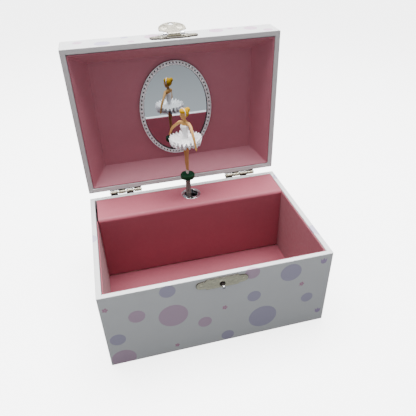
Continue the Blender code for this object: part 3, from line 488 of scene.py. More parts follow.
def turned(profile, axis, centre, segments):
    """A turned solid. The profile is (radius, place along the axis)."""
    points = []
    for radius, along in profile:
        for i in range(segments):
            across = radius * cos(tau * i / segments)
            up = radius * sin(tau * i / segments)
            points.append(on_axis(axis, centre[0] + across, centre[1] + up, along))
    solid = profile[0][0] == 0 or profile[-1][0] == 0
    return points, grid_faces(len(profile), segments, closed_rows=not solid)


def turn(name, profile, axis, centre, look, body=None, segments=64, **settings):
    return build(name, turned(profile, axis, centre, segments), look, body, **settings)


def extruded(outline, axis, low, high):
    points = [on_axis(axis, a, b, along) for along in (low, high) for a, b in outline]
    return points, capped(2, len(outline))


def rod_cutter(axis, centre, radius, low, high, look, place=None):
    profile = [(0, low), (radius, low), (radius, high), (0, high)]
    return turn("cutter", profile, axis, centre, look, segments=40, place=place)


def block_cutter(low, high, look):
    outline = [(low[0], low[1]), (high[0], low[1]), (high[0], high[1]), (low[0], high[1])]
    return build("cutter", extruded(outline, "Z", low[2], high[2]), look)


def arc(across, up, radius, first, last, steps):
    """Points along an arc, from one angle to another in degrees."""
    turns = [radians(first + (last - first) * i / steps) for i in range(steps + 1)]
    return [(across + radius * cos(t), up + radius * sin(t)) for t in turns]


def between(p, q, r, s, t):
    """A Catmull-Rom curve's value at a share t of the way from q to r."""
    return 0.5 * (2 * q + (r - p) * t + (2 * p - 5 * q + 4 * r - s) * t**2 + (3 * q - p - 3 * r + s) * t**3)


def smooth_route(route, steps):
    """Points along a smooth curve through the route, whose points may carry radii too."""
    ends = [route[0], *route, route[-1]]
    found = []
    for spots in zip(ends, ends[1:], ends[2:], ends[3:]):
        for i in range(steps):
            found.append(tuple(between(*values, i / steps) for values in zip(*spots)))
    return found + [tuple(route[-1])]


def tube(route, sides):
    """A bar along a route of (x, y, z, radius)."""
    spots = [Vector(p[:3]) for p in route]
    across = (spots[1] - spots[0]).normalized().orthogonal().normalized()
    points = []
    for i, spot in enumerate(spots):
        ahead = (spots[min(i + 1, len(spots) - 1)] - spots[max(i - 1, 0)]).normalized()
        across = (across - ahead * across.dot(ahead)).normalized()
        up = ahead.cross(across)
        turns = [tau * k / sides for k in range(sides)]
        points += [spot + (across * cos(t) + up * sin(t)) * route[i][3] for t in turns]
    return points, capped(len(spots), sides)


def merged(*shapes):
    points = []
    faces = []
    for more_points, more_faces in shapes:
        faces += [tuple(len(points) + i for i in face) for face in more_faces]
        points += [tuple(p) for p in more_points]
    return points, faces


# ---------------------------------------------------------------- printed paper


PINK, LILAC = "pink_print", "lilac_print"
PAPERS = ["white_paper", PINK, LILAC, "rose_print", "violet_print", "rim_paper_painted_shade"]
EDGE = 0.45
POST_BORE = 1.9


def circle(s, t, radius, steps=48):
    return [(s + radius * cos(tau * i / steps), t + radius * sin(tau * i / steps)) for i in range(steps)]


def blossom(s, t, radius):
    """A round flower whose edge runs in and out with its petals."""
    petals = 5
    steps = petals * 12
    outline = []
    for i in range(steps):
        turn_i = tau * i / steps
        reach = radius * (0.62 + 0.38 * abs(cos(petals * turn_i / 2)))
        outline.append((s + reach * cos(turn_i), t + reach * sin(turn_i)))
    return outline


def tulip(s, t, size):
    """A cup with three pointed petals."""
    tips = [(0.52, 0.62), (0.26, 0.22), (0.0, 0.66), (-0.26, 0.22), (-0.52, 0.62)]
    return arc(s, t, size * 0.5, 180, 360, 12) + [(s + a * size, t + b * size) for a, b in tips]


def prints_of(dots, flowers=(), tulips=()):
    """(outline, look) of each print. Dots are (s, t, radius, look); flowers and tulips (s, t, size)."""
    found = [(circle(s, t, radius), look) for s, t, radius, look in dots]
    for s, t, size in flowers:
        found.append((blossom(s, t, size), "rose_print"))
        found.append((circle(s, t, size * 0.28, 12), PINK))
    return found + [(tulip(s, t, size), "violet_print") for s, t, size in tulips]


def scattered(width, height, count, seed, margin=6.0):
    """Dots thrown over a face without touching, the large ones first."""
    throw = random.Random(seed)
    dots = []
    tries = 0
    while len(dots) < count and tries < 4000:
        tries += 1
        size = (8.6, 6.2, 4.4, 1.9)[min(3, len(dots) * 4 // count)]
        s = throw.uniform(-width / 2 + margin, width / 2 - margin)
        t = throw.uniform(margin * 0.6, height - margin * 0.6)
        if size + 0.8 > min(width / 2 - abs(s), t, height - t):
            continue
        if all(hypot(s - a, t - b) > size + r + 3.0 for a, b, r, _ in dots):
            dots.append((s, t, size, throw.choice((PINK, LILAC))))
    return dots


def cut_sheet(points, edges, prints, inside):
    """Flat triangles cut along the edges and the prints' outlines, and each one's mark."""
    points = list(points)
    faces = []
    for outline, _ in prints:
        faces.append(tuple(range(len(points), len(points) + len(outline))))
        points += outline
    cut = delaunay_2d_cdt([Vector(p) for p in points], edges, faces, 0, 1e-5)
    spots, triangles, origins = cut[0], cut[2], cut[5]
    kept = []
    marks = []
    for triangle, origin in zip(triangles, origins):
        if inside(sum((spots[i] for i in triangle), Vector((0, 0))) / len(triangle)):
            kept.append(tuple(triangle))
            marks.append(PAPERS.index(prints[max(origin)][1]) if origin else 0)
    return spots, kept, marks


class Casing:
    """Four walls seen as one sheet: s runs round them from the middle of the front, t up them.

    t carries on over the rounded rim and down inside. Each row of the wall's section is
    (t, half width, half depth, corner radius, height).
    """

    ROUND = 0.8

    def __init__(self, half_w, half_d, section):
        starts = (-half_w - 2 * half_d, -half_w, half_w, half_w + 2 * half_d, 3 * half_w + 2 * half_d)
        self.corners = starts
        columns = [c + self.ROUND * k / 4 for c in starts for k in range(-4, 5)]
        self.columns = [s for s in columns if starts[0] <= s <= starts[-1]]
        self.rows = []
        length = 0.0
        before = section[0]
        for inset, height in section:
            length += hypot(inset - before[0], height - before[1])
            before = (inset, height)
            self.rows.append([length, half_w - inset, half_d - inset, max(self.ROUND - inset, 0.0), height])
        wall_start = next(row for row in self.rows if row[1] == half_w)
        shift = wall_start[4] - wall_start[0]
        for row in self.rows:
            row[0] += shift

    def section_at(self, t):
        for low, high in zip(self.rows, self.rows[1:]):
            if t <= high[0] + 1e-6:
                share = (t - low[0]) / (high[0] - low[0])
                return [a + (b - a) * share for a, b in zip(low[1:], high[1:])]
        return self.rows[-1][1:]

    def corner(self, index, share, section):
        """A point of a rounded corner. share runs from -1 to 1 round it."""
        half_w, half_d, radius, height = section
        sign_x = (-1, -1, 1, 1, -1)[index]
        sign_y = (1, -1, -1, 1, 1)[index]
        turn_c = radians((90, 180, 270, 0, 90)[index] + 45 * (share + 1))
        x = sign_x * (half_w - radius) + radius * cos(turn_c)
        y = sign_y * (half_d - radius) + radius * sin(turn_c)
        return Vector((x, y, height))

    def place(self, s, t):
        section = self.section_at(t)
        for index, corner in enumerate(self.corners):
            if abs(s - corner) <= self.ROUND + 1e-6:
                return self.corner(index, (s - corner) / self.ROUND, section)
        index = max(i for i, corner in enumerate(self.corners) if s > corner)
        start = self.corners[index] + self.ROUND
        share = (s - start) / (self.corners[index + 1] - self.ROUND - start)
        return self.corner(index, 1, section).lerp(self.corner(index + 1, -1, section), share)

    def sheet(self, prints):
        """The walls' points, faces and marks."""
        ts = [row[0] for row in self.rows]
        wide = len(self.columns)
        points = [(s, t) for t in ts for s in self.columns]
        edges = [(r * wide + c, r * wide + c + 1) for r in range(len(ts)) for c in range(wide - 1)]
        edges += [(r * wide + c, (r + 1) * wide + c) for r in range(len(ts) - 1) for c in range(wide)]

        def inside(spot):
            return self.columns[0] < spot.x < self.columns[-1] and ts[0] < spot.y < ts[-1]

        spots, faces, marks = cut_sheet(points, edges, prints, inside)
        return [self.place(*spot) for spot in spots], faces, marks

    def panel(self, row, prints):
        """A flat face that closes the walls at one row of the section."""
        t, height = self.rows[row][0], self.rows[row][4]
        loop = [self.place(s, t).xy for s in self.columns[:-1]]
        edges = [(i, (i + 1) % len(loop)) for i in range(len(loop))]
        spots, faces, marks = cut_sheet(loop, edges, prints, lambda spot: True)
        return [Vector((*spot, height)) for spot in spots], faces, marks


def shift_prints(dots, s, t=0.0):
    return [(a + s, b + t, radius, look) for a, b, radius, look in dots]


def side_prints(height, seed):
    """Dots scattered over the base's left, right and back walls, in the casing's own s and t."""
    depth = 2 * HALF_D
    left = shift_prints(scattered(depth, height, 9, seed), -HALF_W - HALF_D)
    right = shift_prints(scattered(depth, height, 9, seed + 1), HALF_W + HALF_D)
    back = shift_prints(scattered(2 * HALF_W, height, 14, seed + 2), 2 * HALF_W + 2 * HALF_D)
    return left + right + back


def boards(body, *sides):
    return [f"{body}_{side}_board" for side in ("front", "back", "left", "right", *sides)]


def base_casing():
    """The base's walls as one wrapped casing, printed all round."""
    section = [(BASE_WALL, 0.0)] + arc(EDGE, EDGE, EDGE, 270, 180, 4)
    section += arc(EDGE, BASE_H - EDGE, EDGE, 180, 90, 4)
    section += arc(BASE_WALL - EDGE, BASE_H - EDGE, EDGE, 90, 0, 4) + [(BASE_WALL, 0.0)]
    dots = [(-31.8, 35.8, 9.6, PINK), (-54.5, 41.8, 5.3, PINK), (-34.0, 58.0, 5.1, LILAC)]
    dots += [(-11.4, 23.5, 4.7, PINK), (29.3, 16.6, 10.0, LILAC), (22.3, 38.2, 4.7, LILAC)]
    dots += [(20.5, 59.6, 5.0, PINK), (47.1, 53.0, 7.3, LILAC), (61.0, 26.3, 4.3, LILAC)]
    dots += [(4.3, 5.3, 4.5, LILAC), (-68.6, 24.2, 5.1, LILAC), (-67.1, 5.0, 8.2, PINK)]
    side = HALF_W + HALF_D
    dots += [(side - 30.0, 61.0, 6.5, LILAC), (side + 46.0, 62.0, 4.0, LILAC)]
    dots += [(-side - 3.4, 61.5, 4.6, LILAC)]
    dots += side_prints(BASE_H - 8.0, 11)
    flowers = [(-72.4, 52.6, 1.9), (-31.2, 6.2, 1.7), (2.3, 33.3, 1.9), (55.7, 40.5, 1.9)]
    tulips = [(69.6, 57.4, 4.2), (71.1, 10.2, 4.2)]
    points, faces, marks = Casing(HALF_W, HALF_D, section).sheet(prints_of(dots, flowers, tulips))
    made = build("base_casing", (points, faces), PAPERS, "base", None, marks)
    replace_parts(made, *boards("base"))
    carve(made, *base_holes())


def base_holes():
    """Where the key, the screws, the latch post and the stop wire pass through the walls."""
    inner = HALF_D - BASE_WALL
    cutters = []
    for node, bore in (("winding_arbor", 4.0), ("movement_screw_left", 1.6), ("movement_screw_right", 1.6)):
        spot = middle(node)
        cutters.append(rod_cutter("Y", (spot.x, spot.z), bore, inner - 1, HALF_D + 1, "white_paper"))
    post = middle("latch_post")
    # The post's bore has painted shade on its walls.
    cutters.append(rod_cutter("Y", (post.x, post.z), POST_BORE, -HALF_D - 1, -inner - 0.8, "bare_edge"))
    wire_r, slot_half, slot_depth, slot_foot = 0.6, 1.2, 2.4, 56.5
    wire_x = span("stop_wire")[1].x - wire_r
    slot_low = (wire_x - slot_half, inner - 1, slot_foot)
    slot_high = (wire_x + slot_half, inner + slot_depth, BASE_H + 1)
    return cutters + [block_cutter(slot_low, slot_high, "white_paper")]


def lid_casing():
    """The lid's walls and top as one wrapped casing, printed outside."""
    section = arc(EDGE, EDGE, EDGE, 270, 180, 4) + arc(EDGE, LID_H - EDGE, EDGE, 180, 90, 4)
    section += arc(LID_WALL - EDGE, LID_H - EDGE, EDGE, 90, 0, 4) + [(LID_WALL, LID_PANEL)]
    casing = Casing(HALF_W, HALF_D, section)
    front = 2 * HALF_W + 2 * HALF_D
    seen = [(-64.0, 7.3, 3.2, PINK), (-47.9, 14.4, 5.4, LILAC), (-32.4, 3.4, 2.6, LILAC)]
    seen += [(-28.9, 15.9, 2.4, PINK), (-13.5, 7.4, 5.6, PINK), (32.7, 6.0, 5.2, PINK)]
    seen += [(43.7, 3.9, 2.2, PINK), (58.0, 7.4, 5.0, PINK), (68.1, 16.3, 3.4, PINK)]
    dots = [(front - x, t, radius, look) for x, t, radius, look in seen]
    left = -HALF_W - HALF_D
    dots += [(left - 45.5, 19.0, 6.2, LILAC), (left + 20.6, 19.6, 5.6, LILAC), (left - 8, 8, 5.0, PINK)]
    right = HALF_W + HALF_D
    dots += [(right - 46.5, 19.2, 5.0, LILAC), (right - 12, 9, 6.0, PINK), (right + 30, 12, 4.2, LILAC)]
    dots += scattered(2 * HALF_W, LID_H - 1.0, 7, 31, 3.0)
    points, faces, marks = casing.sheet(prints_of(dots))
    # The lid's rim wears a darker copy of the white paper, painted shade.
    rim, rim_start = PAPERS.index("rim_paper_painted_shade"), LID_H - 0.2
    for index, face in enumerate(faces):
        if min(points[i].z for i in face) > rim_start:
            marks[index] = rim
    top = prints_of(shift_prints(scattered(2 * HALF_W, 2 * HALF_D, 26, 5), 0.0, -HALF_D))
    for row, prints in ((0, top), (len(casing.rows) - 1, [])):
        *more, more_marks = casing.panel(row, prints)
        points, faces = merged((points, faces), more)
        marks += more_marks
    made = build("lid_casing", (points, faces), PAPERS, "lid", LID_PLACE, marks)
    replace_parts(made, *boards("lid", "top"))


# ---------------------------------------------------------------- pink card


def ring_shell(name, rows, look, body, place=None):
    """A tray of rounded rectangles. Each row is (half width, half depth, height, centre depth)."""
    points = []
    corner, steps = 1.2, 6
    for half_w, half_d, height, centre in rows:
        for x, y, first in ((1, 1, 0), (-1, 1, 90), (-1, -1, 180), (1, -1, 270)):
            rounded = arc(x * (half_w - corner), y * (half_d - corner), corner, first, first + 90, steps)
            points += [(a, centre + b, height) for a, b in rounded]
    return build(name, (points, capped(len(rows), 4 * (steps + 1))), look, body, place, sharp=50.0)


def lid_lining():
    """The slanted card inside the lid: soft folds round the ceiling and a faint crease inside them."""
    low, high = span("lid_lining")
    rim_w, rim_d, rim_h = high.x, (high.z - low.z) / 2, LID_BACK - low.y
    thick = 0.8
    ceiling = LID_BACK - high.y + thick
    half_w, half_d = 60.5, 40.7
    in_w, in_d = rim_w - thick, rim_d - thick
    rows = [(half_w + 0.4, half_d + 0.4, ceiling - thick, 0), (rim_w, rim_d, rim_h, 0)]
    rows += [(rim_w - thick * 0.4, rim_d - thick * 0.4, rim_h + 0.12, 0), (in_w, in_d, rim_h, 0)]
    for share, lift in ((0.5, 0.12), (0.12, 0.15), (0.05, 0.25), (0.015, 0.16), (0.0, 0.05)):
        height = ceiling + (rim_h - ceiling) * share + lift
        rows.append((half_w + (in_w - half_w) * share, half_d + (in_d - half_d) * share, height, 0))
    for inset, lift in ((0.5, 0.0), (1.9, 0.0), (2.2, 0.14), (2.6, 0.14), (2.9, 0.0)):
        rows.append((half_w - inset, half_d - inset, ceiling + lift, 0))
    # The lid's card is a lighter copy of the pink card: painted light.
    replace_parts(ring_shell("lid_lining_card", rows, "lid_card", "lid", LID_PLACE), "lid_lining")


def compartment_lining():
    """The tray's card: three walls with soft folds, open to the bench, and its floor."""
    low, high = span("compartment_lining")
    centre = (low.y + high.y) / 2
    half_w, half_d = high.x, (high.y - low.y) / 2
    thick, fold, lip = 0.8, 0.9, 0.25
    floor = low.z + 1.0
    rows = [(half_w, half_d, low.z, centre), (half_w, half_d, high.z - lip, centre)]
    rows += [(half_w - lip, half_d - lip, high.z, centre)]
    rows += [(half_w - thick, half_d - thick, high.z - lip, centre)]
    for out, up in arc(fold, fold, fold, 180, 270, 5):
        rows.append((half_w - thick - out, half_d - thick - out, floor + up, centre))
    # The compartment's card is a darker copy of the pink card: painted shade.
    made = ring_shell("compartment_card", rows, "tray_card", "base")
    opening_low = (-half_w + thick, high.y - 4.0, floor)
    opening_high = (half_w - thick, high.y + 2.0, high.z + 2.0)
    carve(made, block_cutter(opening_low, opening_high, "tray_card"), sharp=50.0)
    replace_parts(made, "compartment_lining")


def bench_card():
    """A folded card: the flap before the mechanism, a round fold and the top with the grommet's hole."""
    low, high = span("bench_cover")
    hole, hole_r = middle("bench_grommet"), 5.9
    thick, fold, narrow, columns = 1.1, 2.8, 0.5, 21
    outer = [(low.y, low.z + (high.z - fold - low.z) * i / 8) for i in range(8)]
    outer += arc(low.y + fold, high.z - fold, fold, 180, 90, 10)
    outer += [(low.y + fold + (high.y - low.y - fold) * i / 6, high.z) for i in range(1, 7)]
    inner = [(low.y + thick, z) for _, z in outer[:8]]
    inner += arc(low.y + fold, high.z - fold, fold - thick, 180, 90, 10)
    inner += [(y, high.z - thick) for y, _ in outer[19:]]
    path = outer + inner[::-1]
    points = []
    for share in [i / (columns - 1) for i in range(columns)]:
        for y, z in path:
            left = low.x - narrow * (high.z - z) / (high.z - low.z)
            points.append((left + (high.x - left) * share, y, z))
    made = build("bench_card", (points, capped(columns, len(path))), "pink_card", "base", sharp=50.0)
    carve(made, rod_cutter("Z", hole.xy, hole_r, high.z - 6, high.z + 4, "pink_card"), sharp=50.0)
    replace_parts(made, "bench_cover")


def grommet():
    """A pressed chrome eyelet with a rolled lip and a sleeve through the card."""
    low, high = span("bench_grommet")
    reach = (high.x - low.x) / 2
    seat = high.z - 0.75
    profile = [(reach - 2.0, low.z), (reach - 2.6, low.z), (reach - 2.6, seat + 0.2)]
    profile += arc(reach - 1.85, seat, 0.75, 180, 60, 8)
    profile += arc(reach - 0.45, seat - 0.1, 0.45, 70, -60, 6) + [(reach - 2.0, seat - 0.45)]
    made = turn("grommet_ring", profile, "Z", middle("bench_grommet").xy, "chrome", "base", 96)
    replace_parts(made, "bench_grommet")


# ---------------------------------------------------------------- mirror


def mirror():
    """An oval rim with a row of moulded beads between two bands, and the glass in it."""
    low, high = span("mirror_frame")
    half_w, half_h = high.x, (high.z - low.z) / 2
    centre = (high.z + low.z) / 2 - LID_MIDDLE
    seat = LID_BACK - high.y
    beads, per_bead, bead_r, bead_inset = 68, 12, 0.85, 1.6
    steps = beads * per_bead
    band = [(0.0, 0.0), (0.05, 1.1), (0.2, 1.45), (0.5, 1.6), (0.75, 1.3)]
    insets = [bead_inset + bead_r * k / 5 for k in range(-5, 6)]
    inner_band = [(2.5, 1.35), (2.65, 1.7), (2.95, 1.7), (3.1, 1.55), (3.42, 0.9), (3.45, 0.0)]
    rows = len(band) + len(insets) + len(inner_band)

    def oval(inset, lift, count):
        turns = [tau * i / count for i in range(count)]
        return [((half_w - inset) * cos(t), centre + (half_h - inset) * sin(t), seat + lift) for t in turns]

    def beaded(inset):
        found = []
        for i, (x, y, z) in enumerate(oval(inset, 0.9, steps)):
            along = (i % per_bead - per_bead / 2) / (per_bead / 2) * bead_r * 1.15
            rise = sqrt(max(bead_r**2 - along**2 - (inset - bead_inset) ** 2, 0.0))
            found.append((x, y, z + rise))
        return found

    points = sum([oval(*row, steps) for row in band], [])
    points += sum([beaded(inset) for inset in insets], [])
    points += sum([oval(*row, steps) for row in inner_band], [])
    faces = grid_faces(rows, steps, closed_rows=True)
    # Painted shade: the pits between the beads, the rim's outer side for its shadow, and the inner wall by the
    # glass.
    pits = range((len(band) + 2) * steps, (len(band) + len(insets) - 3) * steps)
    dark = {i for i in pits if max(points[i][2], points[i + 1][2]) < seat + 1.55}
    dark.update(range(steps), range((rows - 3) * steps, (rows - 1) * steps))
    marks = [int(face[0] in dark) for face in faces]
    looks = ["silver_plastic", "silver_painted_shade"]
    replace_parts(build("mirror_rim", (points, faces), looks, "lid", LID_PLACE, marks, 60.0), "mirror_frame")
    pane_rows = [(3.5, 0.03), (3.5, 0.12), (3.8, 0.15)]
    pane = (sum([oval(*row, 192) for row in pane_rows], []), capped(len(pane_rows), 192))
    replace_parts(build("mirror_pane", pane, "mirror_glass", "lid", LID_PLACE, sharp=20.0), "mirror_glass")


# ---------------------------------------------------------------- hinges and latch


def barrel_ring(outer, bore, low, high, round_by):
    """A short tube's profile with rounded rims, as (radius, place along)."""
    ends = arc(outer - round_by, low + round_by, round_by, 270, 360, 3)
    ends += arc(outer - round_by, high - round_by, round_by, 0, 90, 3)
    return ends + [(bore, high), (bore, low)]


def hinge_leaf(side, sign, own):
    """One leaf with its own rolled knuckles. sign -1 is the base's leaf and +1 the lid's."""
    body, find, place = ("base", span, None) if sign < 0 else ("lid", closed_span, LID_OPEN)
    node = f"{side}_hinge_{body}_leaf"
    low, high = find(node)
    pin_low, pin_high = span(f"{side}_hinge_pin")
    bore = (pin_high.z - pin_low.z) / 2 + 0.15
    outer, leaf, knuckles, gap = 1.5, 0.5, 4, 0.2
    near = HINGE.y - 0.8
    outer_z = low.z if sign < 0 else high.z
    inner_z = outer_z - sign * leaf
    root_z = HINGE.z + sign * 1.75
    outline = [(near - leaf, root_z), (near, root_z)] + arc(near - leaf, inner_z, leaf, 0, 90 * sign, 5)
    outline += [(low.y, outer_z), (low.y, inner_z), (near - leaf, inner_z)]
    # The plate is painted shade, for the dark gap under the barrel; finish_leaf gives its outer face the hinge
    # metal.
    made = build(node + "_plate", extruded(outline, "X", low.x, high.x), "bare_edge", body, place)
    step = (high.x - low.x) / knuckles
    tab_low, tab_high = sorted((HINGE.z + sign * 0.9, HINGE.z + sign * 2.0))
    tab = [(near - leaf, tab_low), (near, tab_low), (near, tab_high), (near - leaf, tab_high)]
    added = []
    for i in own:
        ends = (low.x + i * step + gap, low.x + (i + 1) * step - gap)
        ring = barrel_ring(outer, bore, *ends, 0.18)
        added.append(turn("knuckle", ring, "X", HINGE.yz, "hinge_metal", segments=40, place=place))
        # Each knuckle's tab is painted shade too.
        added.append(build("tab", extruded(tab, "X", *ends), "bare_edge", place=place))
    unite(made, *added)
    finish_leaf(made, sign, outer)
    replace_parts(made, node)


def finish_leaf(made, sign, reach):
    """The leaf's outer face gets the hinge metal, and the undersides of the base's knuckles get painted shade."""
    dark, bright = (made.data.materials.find(LOOKS[look].name) for look in ("bare_edge", "hinge_metal"))
    outward = Vector((0, 1, 0)) if sign < 0 else Vector((0, 0, -1))
    for face in made.data.polygons:
        spot = face.center / MM - HINGE
        if face.normal.dot(outward) > 0.9 and hypot(spot.y, spot.z) > reach:
            face.material_index = bright
        elif sign < 0 and face.normal.z < 0.1:
            face.material_index = dark


def hinges():
    for side in ("left", "right"):
        hinge_leaf(side, -1, (0, 2))
        hinge_leaf(side, 1, (1, 3))
        low, high = span(f"{side}_hinge_pin")
        reach, rim = (high.z - low.z) / 2, 0.2
        ends = [(0, low.x)] + arc(reach - rim, low.x + rim, rim, 270, 360, 3)
        ends += arc(reach - rim, high.x - rim, rim, 0, 90, 3) + [(0, high.x)]
        # The pin is painted shade, for the dark gaps between the knuckles.
        pin = turn(f"{side}_pin", ends, "X", HINGE.yz, "bare_edge", "base", 24, slot="chrome")
        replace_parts(pin, f"{side}_hinge_pin")


PLATE_BACK = -HALF_D - 0.3
PLATE_FRONT = PLATE_BACK - 0.7


def plate_outline(half_w, inset):
    """A stamped plate: a tall middle that steps down in small scrolls to lower round ends."""
    half_h, end_h, waist = 4.1 - inset, 2.8 - inset, 10.4 - inset * 0.4
    half = [(waist - 0.5, half_h), (waist, half_h - 0.15)]
    half += [(waist + 0.35, half_h - 0.7), (waist + 0.9, end_h + 0.1), (waist + 1.7, end_h + 0.25)]
    half += arc(half_w - 2.8, 0.0, end_h, 90, 0, 8)
    upper = [(-x, z) for x, z in reversed(half)] + half
    return upper + [(x, -z) for x, z in reversed(upper)][1:-1]


def ellipsoid(centre, radii, rings=12, segments=20):
    points = []
    for i in range(rings + 1):
        up = -cos(pi * i / rings)
        across = sin(pi * i / rings)
        for k in range(segments):
            t = tau * k / segments
            offset = (radii[0] * across * cos(t), radii[1] * across * sin(t), radii[2] * up)
            points.append(tuple(c + o for c, o in zip(centre, offset)))
    return points, grid_faces(rings + 1, segments)


def pierce(plate, spot, radius, place=None):
    """A hole through one of the latch's plates, with painted shade on its walls."""
    cutter = rod_cutter("Y", (spot.x, spot.z), radius, PLATE_FRONT - 1, PLATE_BACK + 1, "bare_edge", place)
    carve(plate, cutter, sharp=55.0)


def latch_plate(name, body, find, place, metal):
    """A stamped plate: a rolled border, a sunk field and raised scrolls round its middle."""
    low, high = find(f"latch_{body}_plate")
    centre = (low + high) / 2
    rows = [(0.0, PLATE_BACK - PLATE_FRONT), (0.0, 0.15), (0.15, 0.0), (0.3, 0.0), (0.7, 0.0)]
    rows += [(0.85, 0.03), (1.0, 0.12), (1.2, 0.14)]
    points = []
    for inset, depth in rows:
        outline = plate_outline((high.x - low.x) / 2, inset)
        points += [(centre.x + x, PLATE_FRONT + depth, centre.z + z) for x, z in outline]
    faces = capped(len(rows), len(outline))
    # The border's side and bevel are painted shade: a dark line along the plate's edge.
    marks = [1] * 2 * len(outline) + [0] * (len(faces) - 2 * len(outline))
    made = build(name, (points, faces), [metal, "bare_edge"], body, place, marks, 55.0)
    scrolls = []
    for side in (-1, 1):
        for across, up, wide, tall in ((5.2, 0.0, 2.1, 1.5), (8.6, 1.2, 0.9, 0.7), (8.6, -1.2, 0.9, 0.7)):
            spot = (centre.x + side * across, PLATE_FRONT + 0.2, centre.z + up)
            scrolls.append(build("scroll", ellipsoid(spot, (wide, 0.24, tall)), metal, place=place))
    unite(made, *scrolls, sharp=55.0)
    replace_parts(made, f"latch_{body}_plate")
    for side in ("left", "right"):
        node = f"latch_{body}_nail_{side}"
        pierce(made, middle(node, find), 0.7, place)
        nail(node, body, find, place, metal)
    return made


def nail(node, body, find, place, metal):
    """A nail with a domed head, which sits just in front of its plate."""
    spot, end = middle(node, find), find(node)[1].y
    head, head_r, rise, shank_r = PLATE_FRONT - 0.15, 1.0, 0.3, 0.4
    profile = [(0.0, end), (shank_r, end - 0.8), (shank_r, head), (head_r, head)]
    profile += [(head_r * cos(t), head - rise * sin(t)) for t in (0.35, 0.7, 1.05, 1.35)]
    profile.append((0.0, head - rise))
    centre = (spot.x, spot.z)
    made = turn(node + "_round", profile, "Y", centre, metal, body, 24, place=place, sharp=50.0)
    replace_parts(made, node)


def base_latch():
    """The base's plate and the knobbed post in front of it."""
    plate = latch_plate("latch_base_stamping", "base", span, None, "latch_metal")
    low, high = span("latch_post")
    spot = middle("latch_post")
    pierce(plate, spot, POST_BORE)
    reach, tip, sides = (high.x - low.x) / 2, low.y, 32
    stem = [(0.0, high.y), (reach, high.y), (reach, tip + 2.6), (reach * 0.66, tip + 2.3)]
    knob = [(reach * 0.66, tip + 1.7)] + arc(reach * 0.35, tip + 0.75, 0.75, 60, -80, 8) + [(0.0, tip)]
    points, faces = turned(stem + knob, "Y", (spot.x, spot.z), sides)
    # The stem, in the bore, is painted shade; the knob is chrome.
    dark = len(stem) * sides
    marks = [1] * dark + [0] * (len(faces) - dark)
    post = build("latch_knob", (points, faces), ["chrome", "bare_edge"], "base", None, marks)
    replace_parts(post, "latch_post")


def lid_latch():
    """The lid's plate, with the two lugs that hold the hasp's pin."""
    # The lid's plate wears a darker copy of the latch metal: painted shade.
    plate = latch_plate("latch_lid_stamping", "lid", closed_span, LID_OPEN, "hasp_metal")
    plate_x = middle("latch_lid_plate", closed_span).x
    low, high = closed_span("hasp_pin")
    axis = middle("hasp_pin", closed_span).yz
    pin_r, rim = (high.z - low.z) / 2, 0.1
    lugs = []
    for side in (-1, 1):
        ring = barrel_ring(1.5, pin_r + 0.12, *sorted((plate_x + side * 4.6, plate_x + side * 7.6)), 0.8)
        lugs.append(turn("lug", ring, "X", axis, "chrome", segments=32, place=LID_OPEN))
    unite(plate, *lugs, sharp=55.0)
    profile = [(0, low.x), (pin_r, low.x + rim), (pin_r, high.x - rim), (0, high.x)]
    pin = turn("hasp_axle", profile, "X", axis, "chrome", "lid", 24, place=LID_OPEN)
    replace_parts(pin, "hasp_pin")


def hasp():
    """The fan, with a swell at each side and a heart-shaped hole for the post near its tip."""
    neck, thick, bore = 4.2, 0.7, 0.57
    half = [(neck, 0.0), (neck, -2.6), (neck + 1.6, -3.7), (neck + 3.6, -4.5)]
    half += arc(8.3, -5.9, 1.4, 90, -30, 8)
    half += smooth_route([(9.5, -8.0), (8.6, -10.4), (6.4, -12.5), (3.6, -13.9), (1.2, -14.4)], 4)
    outline = half + [(-x, z) for x, z in reversed(half)]
    faces_y = (-thick / 2, thick / 2)
    # The hasp wears the same darker copy of the latch metal: painted shade.
    fan = build("hasp_fan", extruded(outline, "Y", *faces_y), "hasp_metal", "hasp", HASP_OPEN)
    fan.modifiers.clear()
    bevel(fan, 0.2, 3, 35.0)
    apply_modifiers(fan)
    soften(fan, 60.0)
    swells = [ellipsoid((x, y, -8.6), (2.6, 0.3, 3.2)) for x in (-5.6, 5.6) for y in faces_y]
    added = [build("swell", swell, "hasp_metal", place=HASP_OPEN) for swell in swells]
    ring = barrel_ring(1.2, bore, -neck, neck, 0.2)
    added.append(turn("knuckle", ring, "X", (0, 0), "hasp_metal", segments=32, place=HASP_OPEN))
    unite(fan, *added, sharp=55.0)
    # The heart hole and the pin's bore have painted shade on their walls.
    heart = arc(0.55, -12.3, 1.35, -30, 112, 8) + arc(-0.55, -12.3, 1.35, 68, 210, 8) + [(0.0, -13.95)]
    carve(fan, build("cutter", extruded(heart, "Y", -2, 2), "bare_edge", place=HASP_OPEN), sharp=55.0)
    carve(fan, rod_cutter("X", (0, 0), bore, -neck - 1, neck + 1, "bare_edge", HASP_OPEN), sharp=55.0)
    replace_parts(fan, "hasp")


# ---------------------------------------------------------------- cylinder pins


def cylinder_pins():
    """The pins that pluck the comb: a track round the drum for each tooth, with the tune's pins."""
    low, high = span("music_cylinder")
    axis = (low + high) / 2
    comb_low, comb_high = span("music_comb")
    drum_r = (high.x - low.x) / 2
    tracks, beats, notes, pin_r = 18, 60, 11, 0.12
    throw = random.Random(3)
    pins = []
    for track in range(tracks):
        z = comb_low.z + (comb_high.z - comb_low.z) * (track + 0.5) / tracks
        for beat in throw.sample(range(beats), notes):
            t = tau * beat / beats
            ends = (drum_r - 0.2, drum_r + 0.5)
            pins.append(tube([(axis.x + r * cos(t), axis.y + r * sin(t), z, pin_r) for r in ends], 6))
    build("cylinder_pins", merged(*pins), "movement_steel", "cylinder")


# ---------------------------------------------------------------- dancer


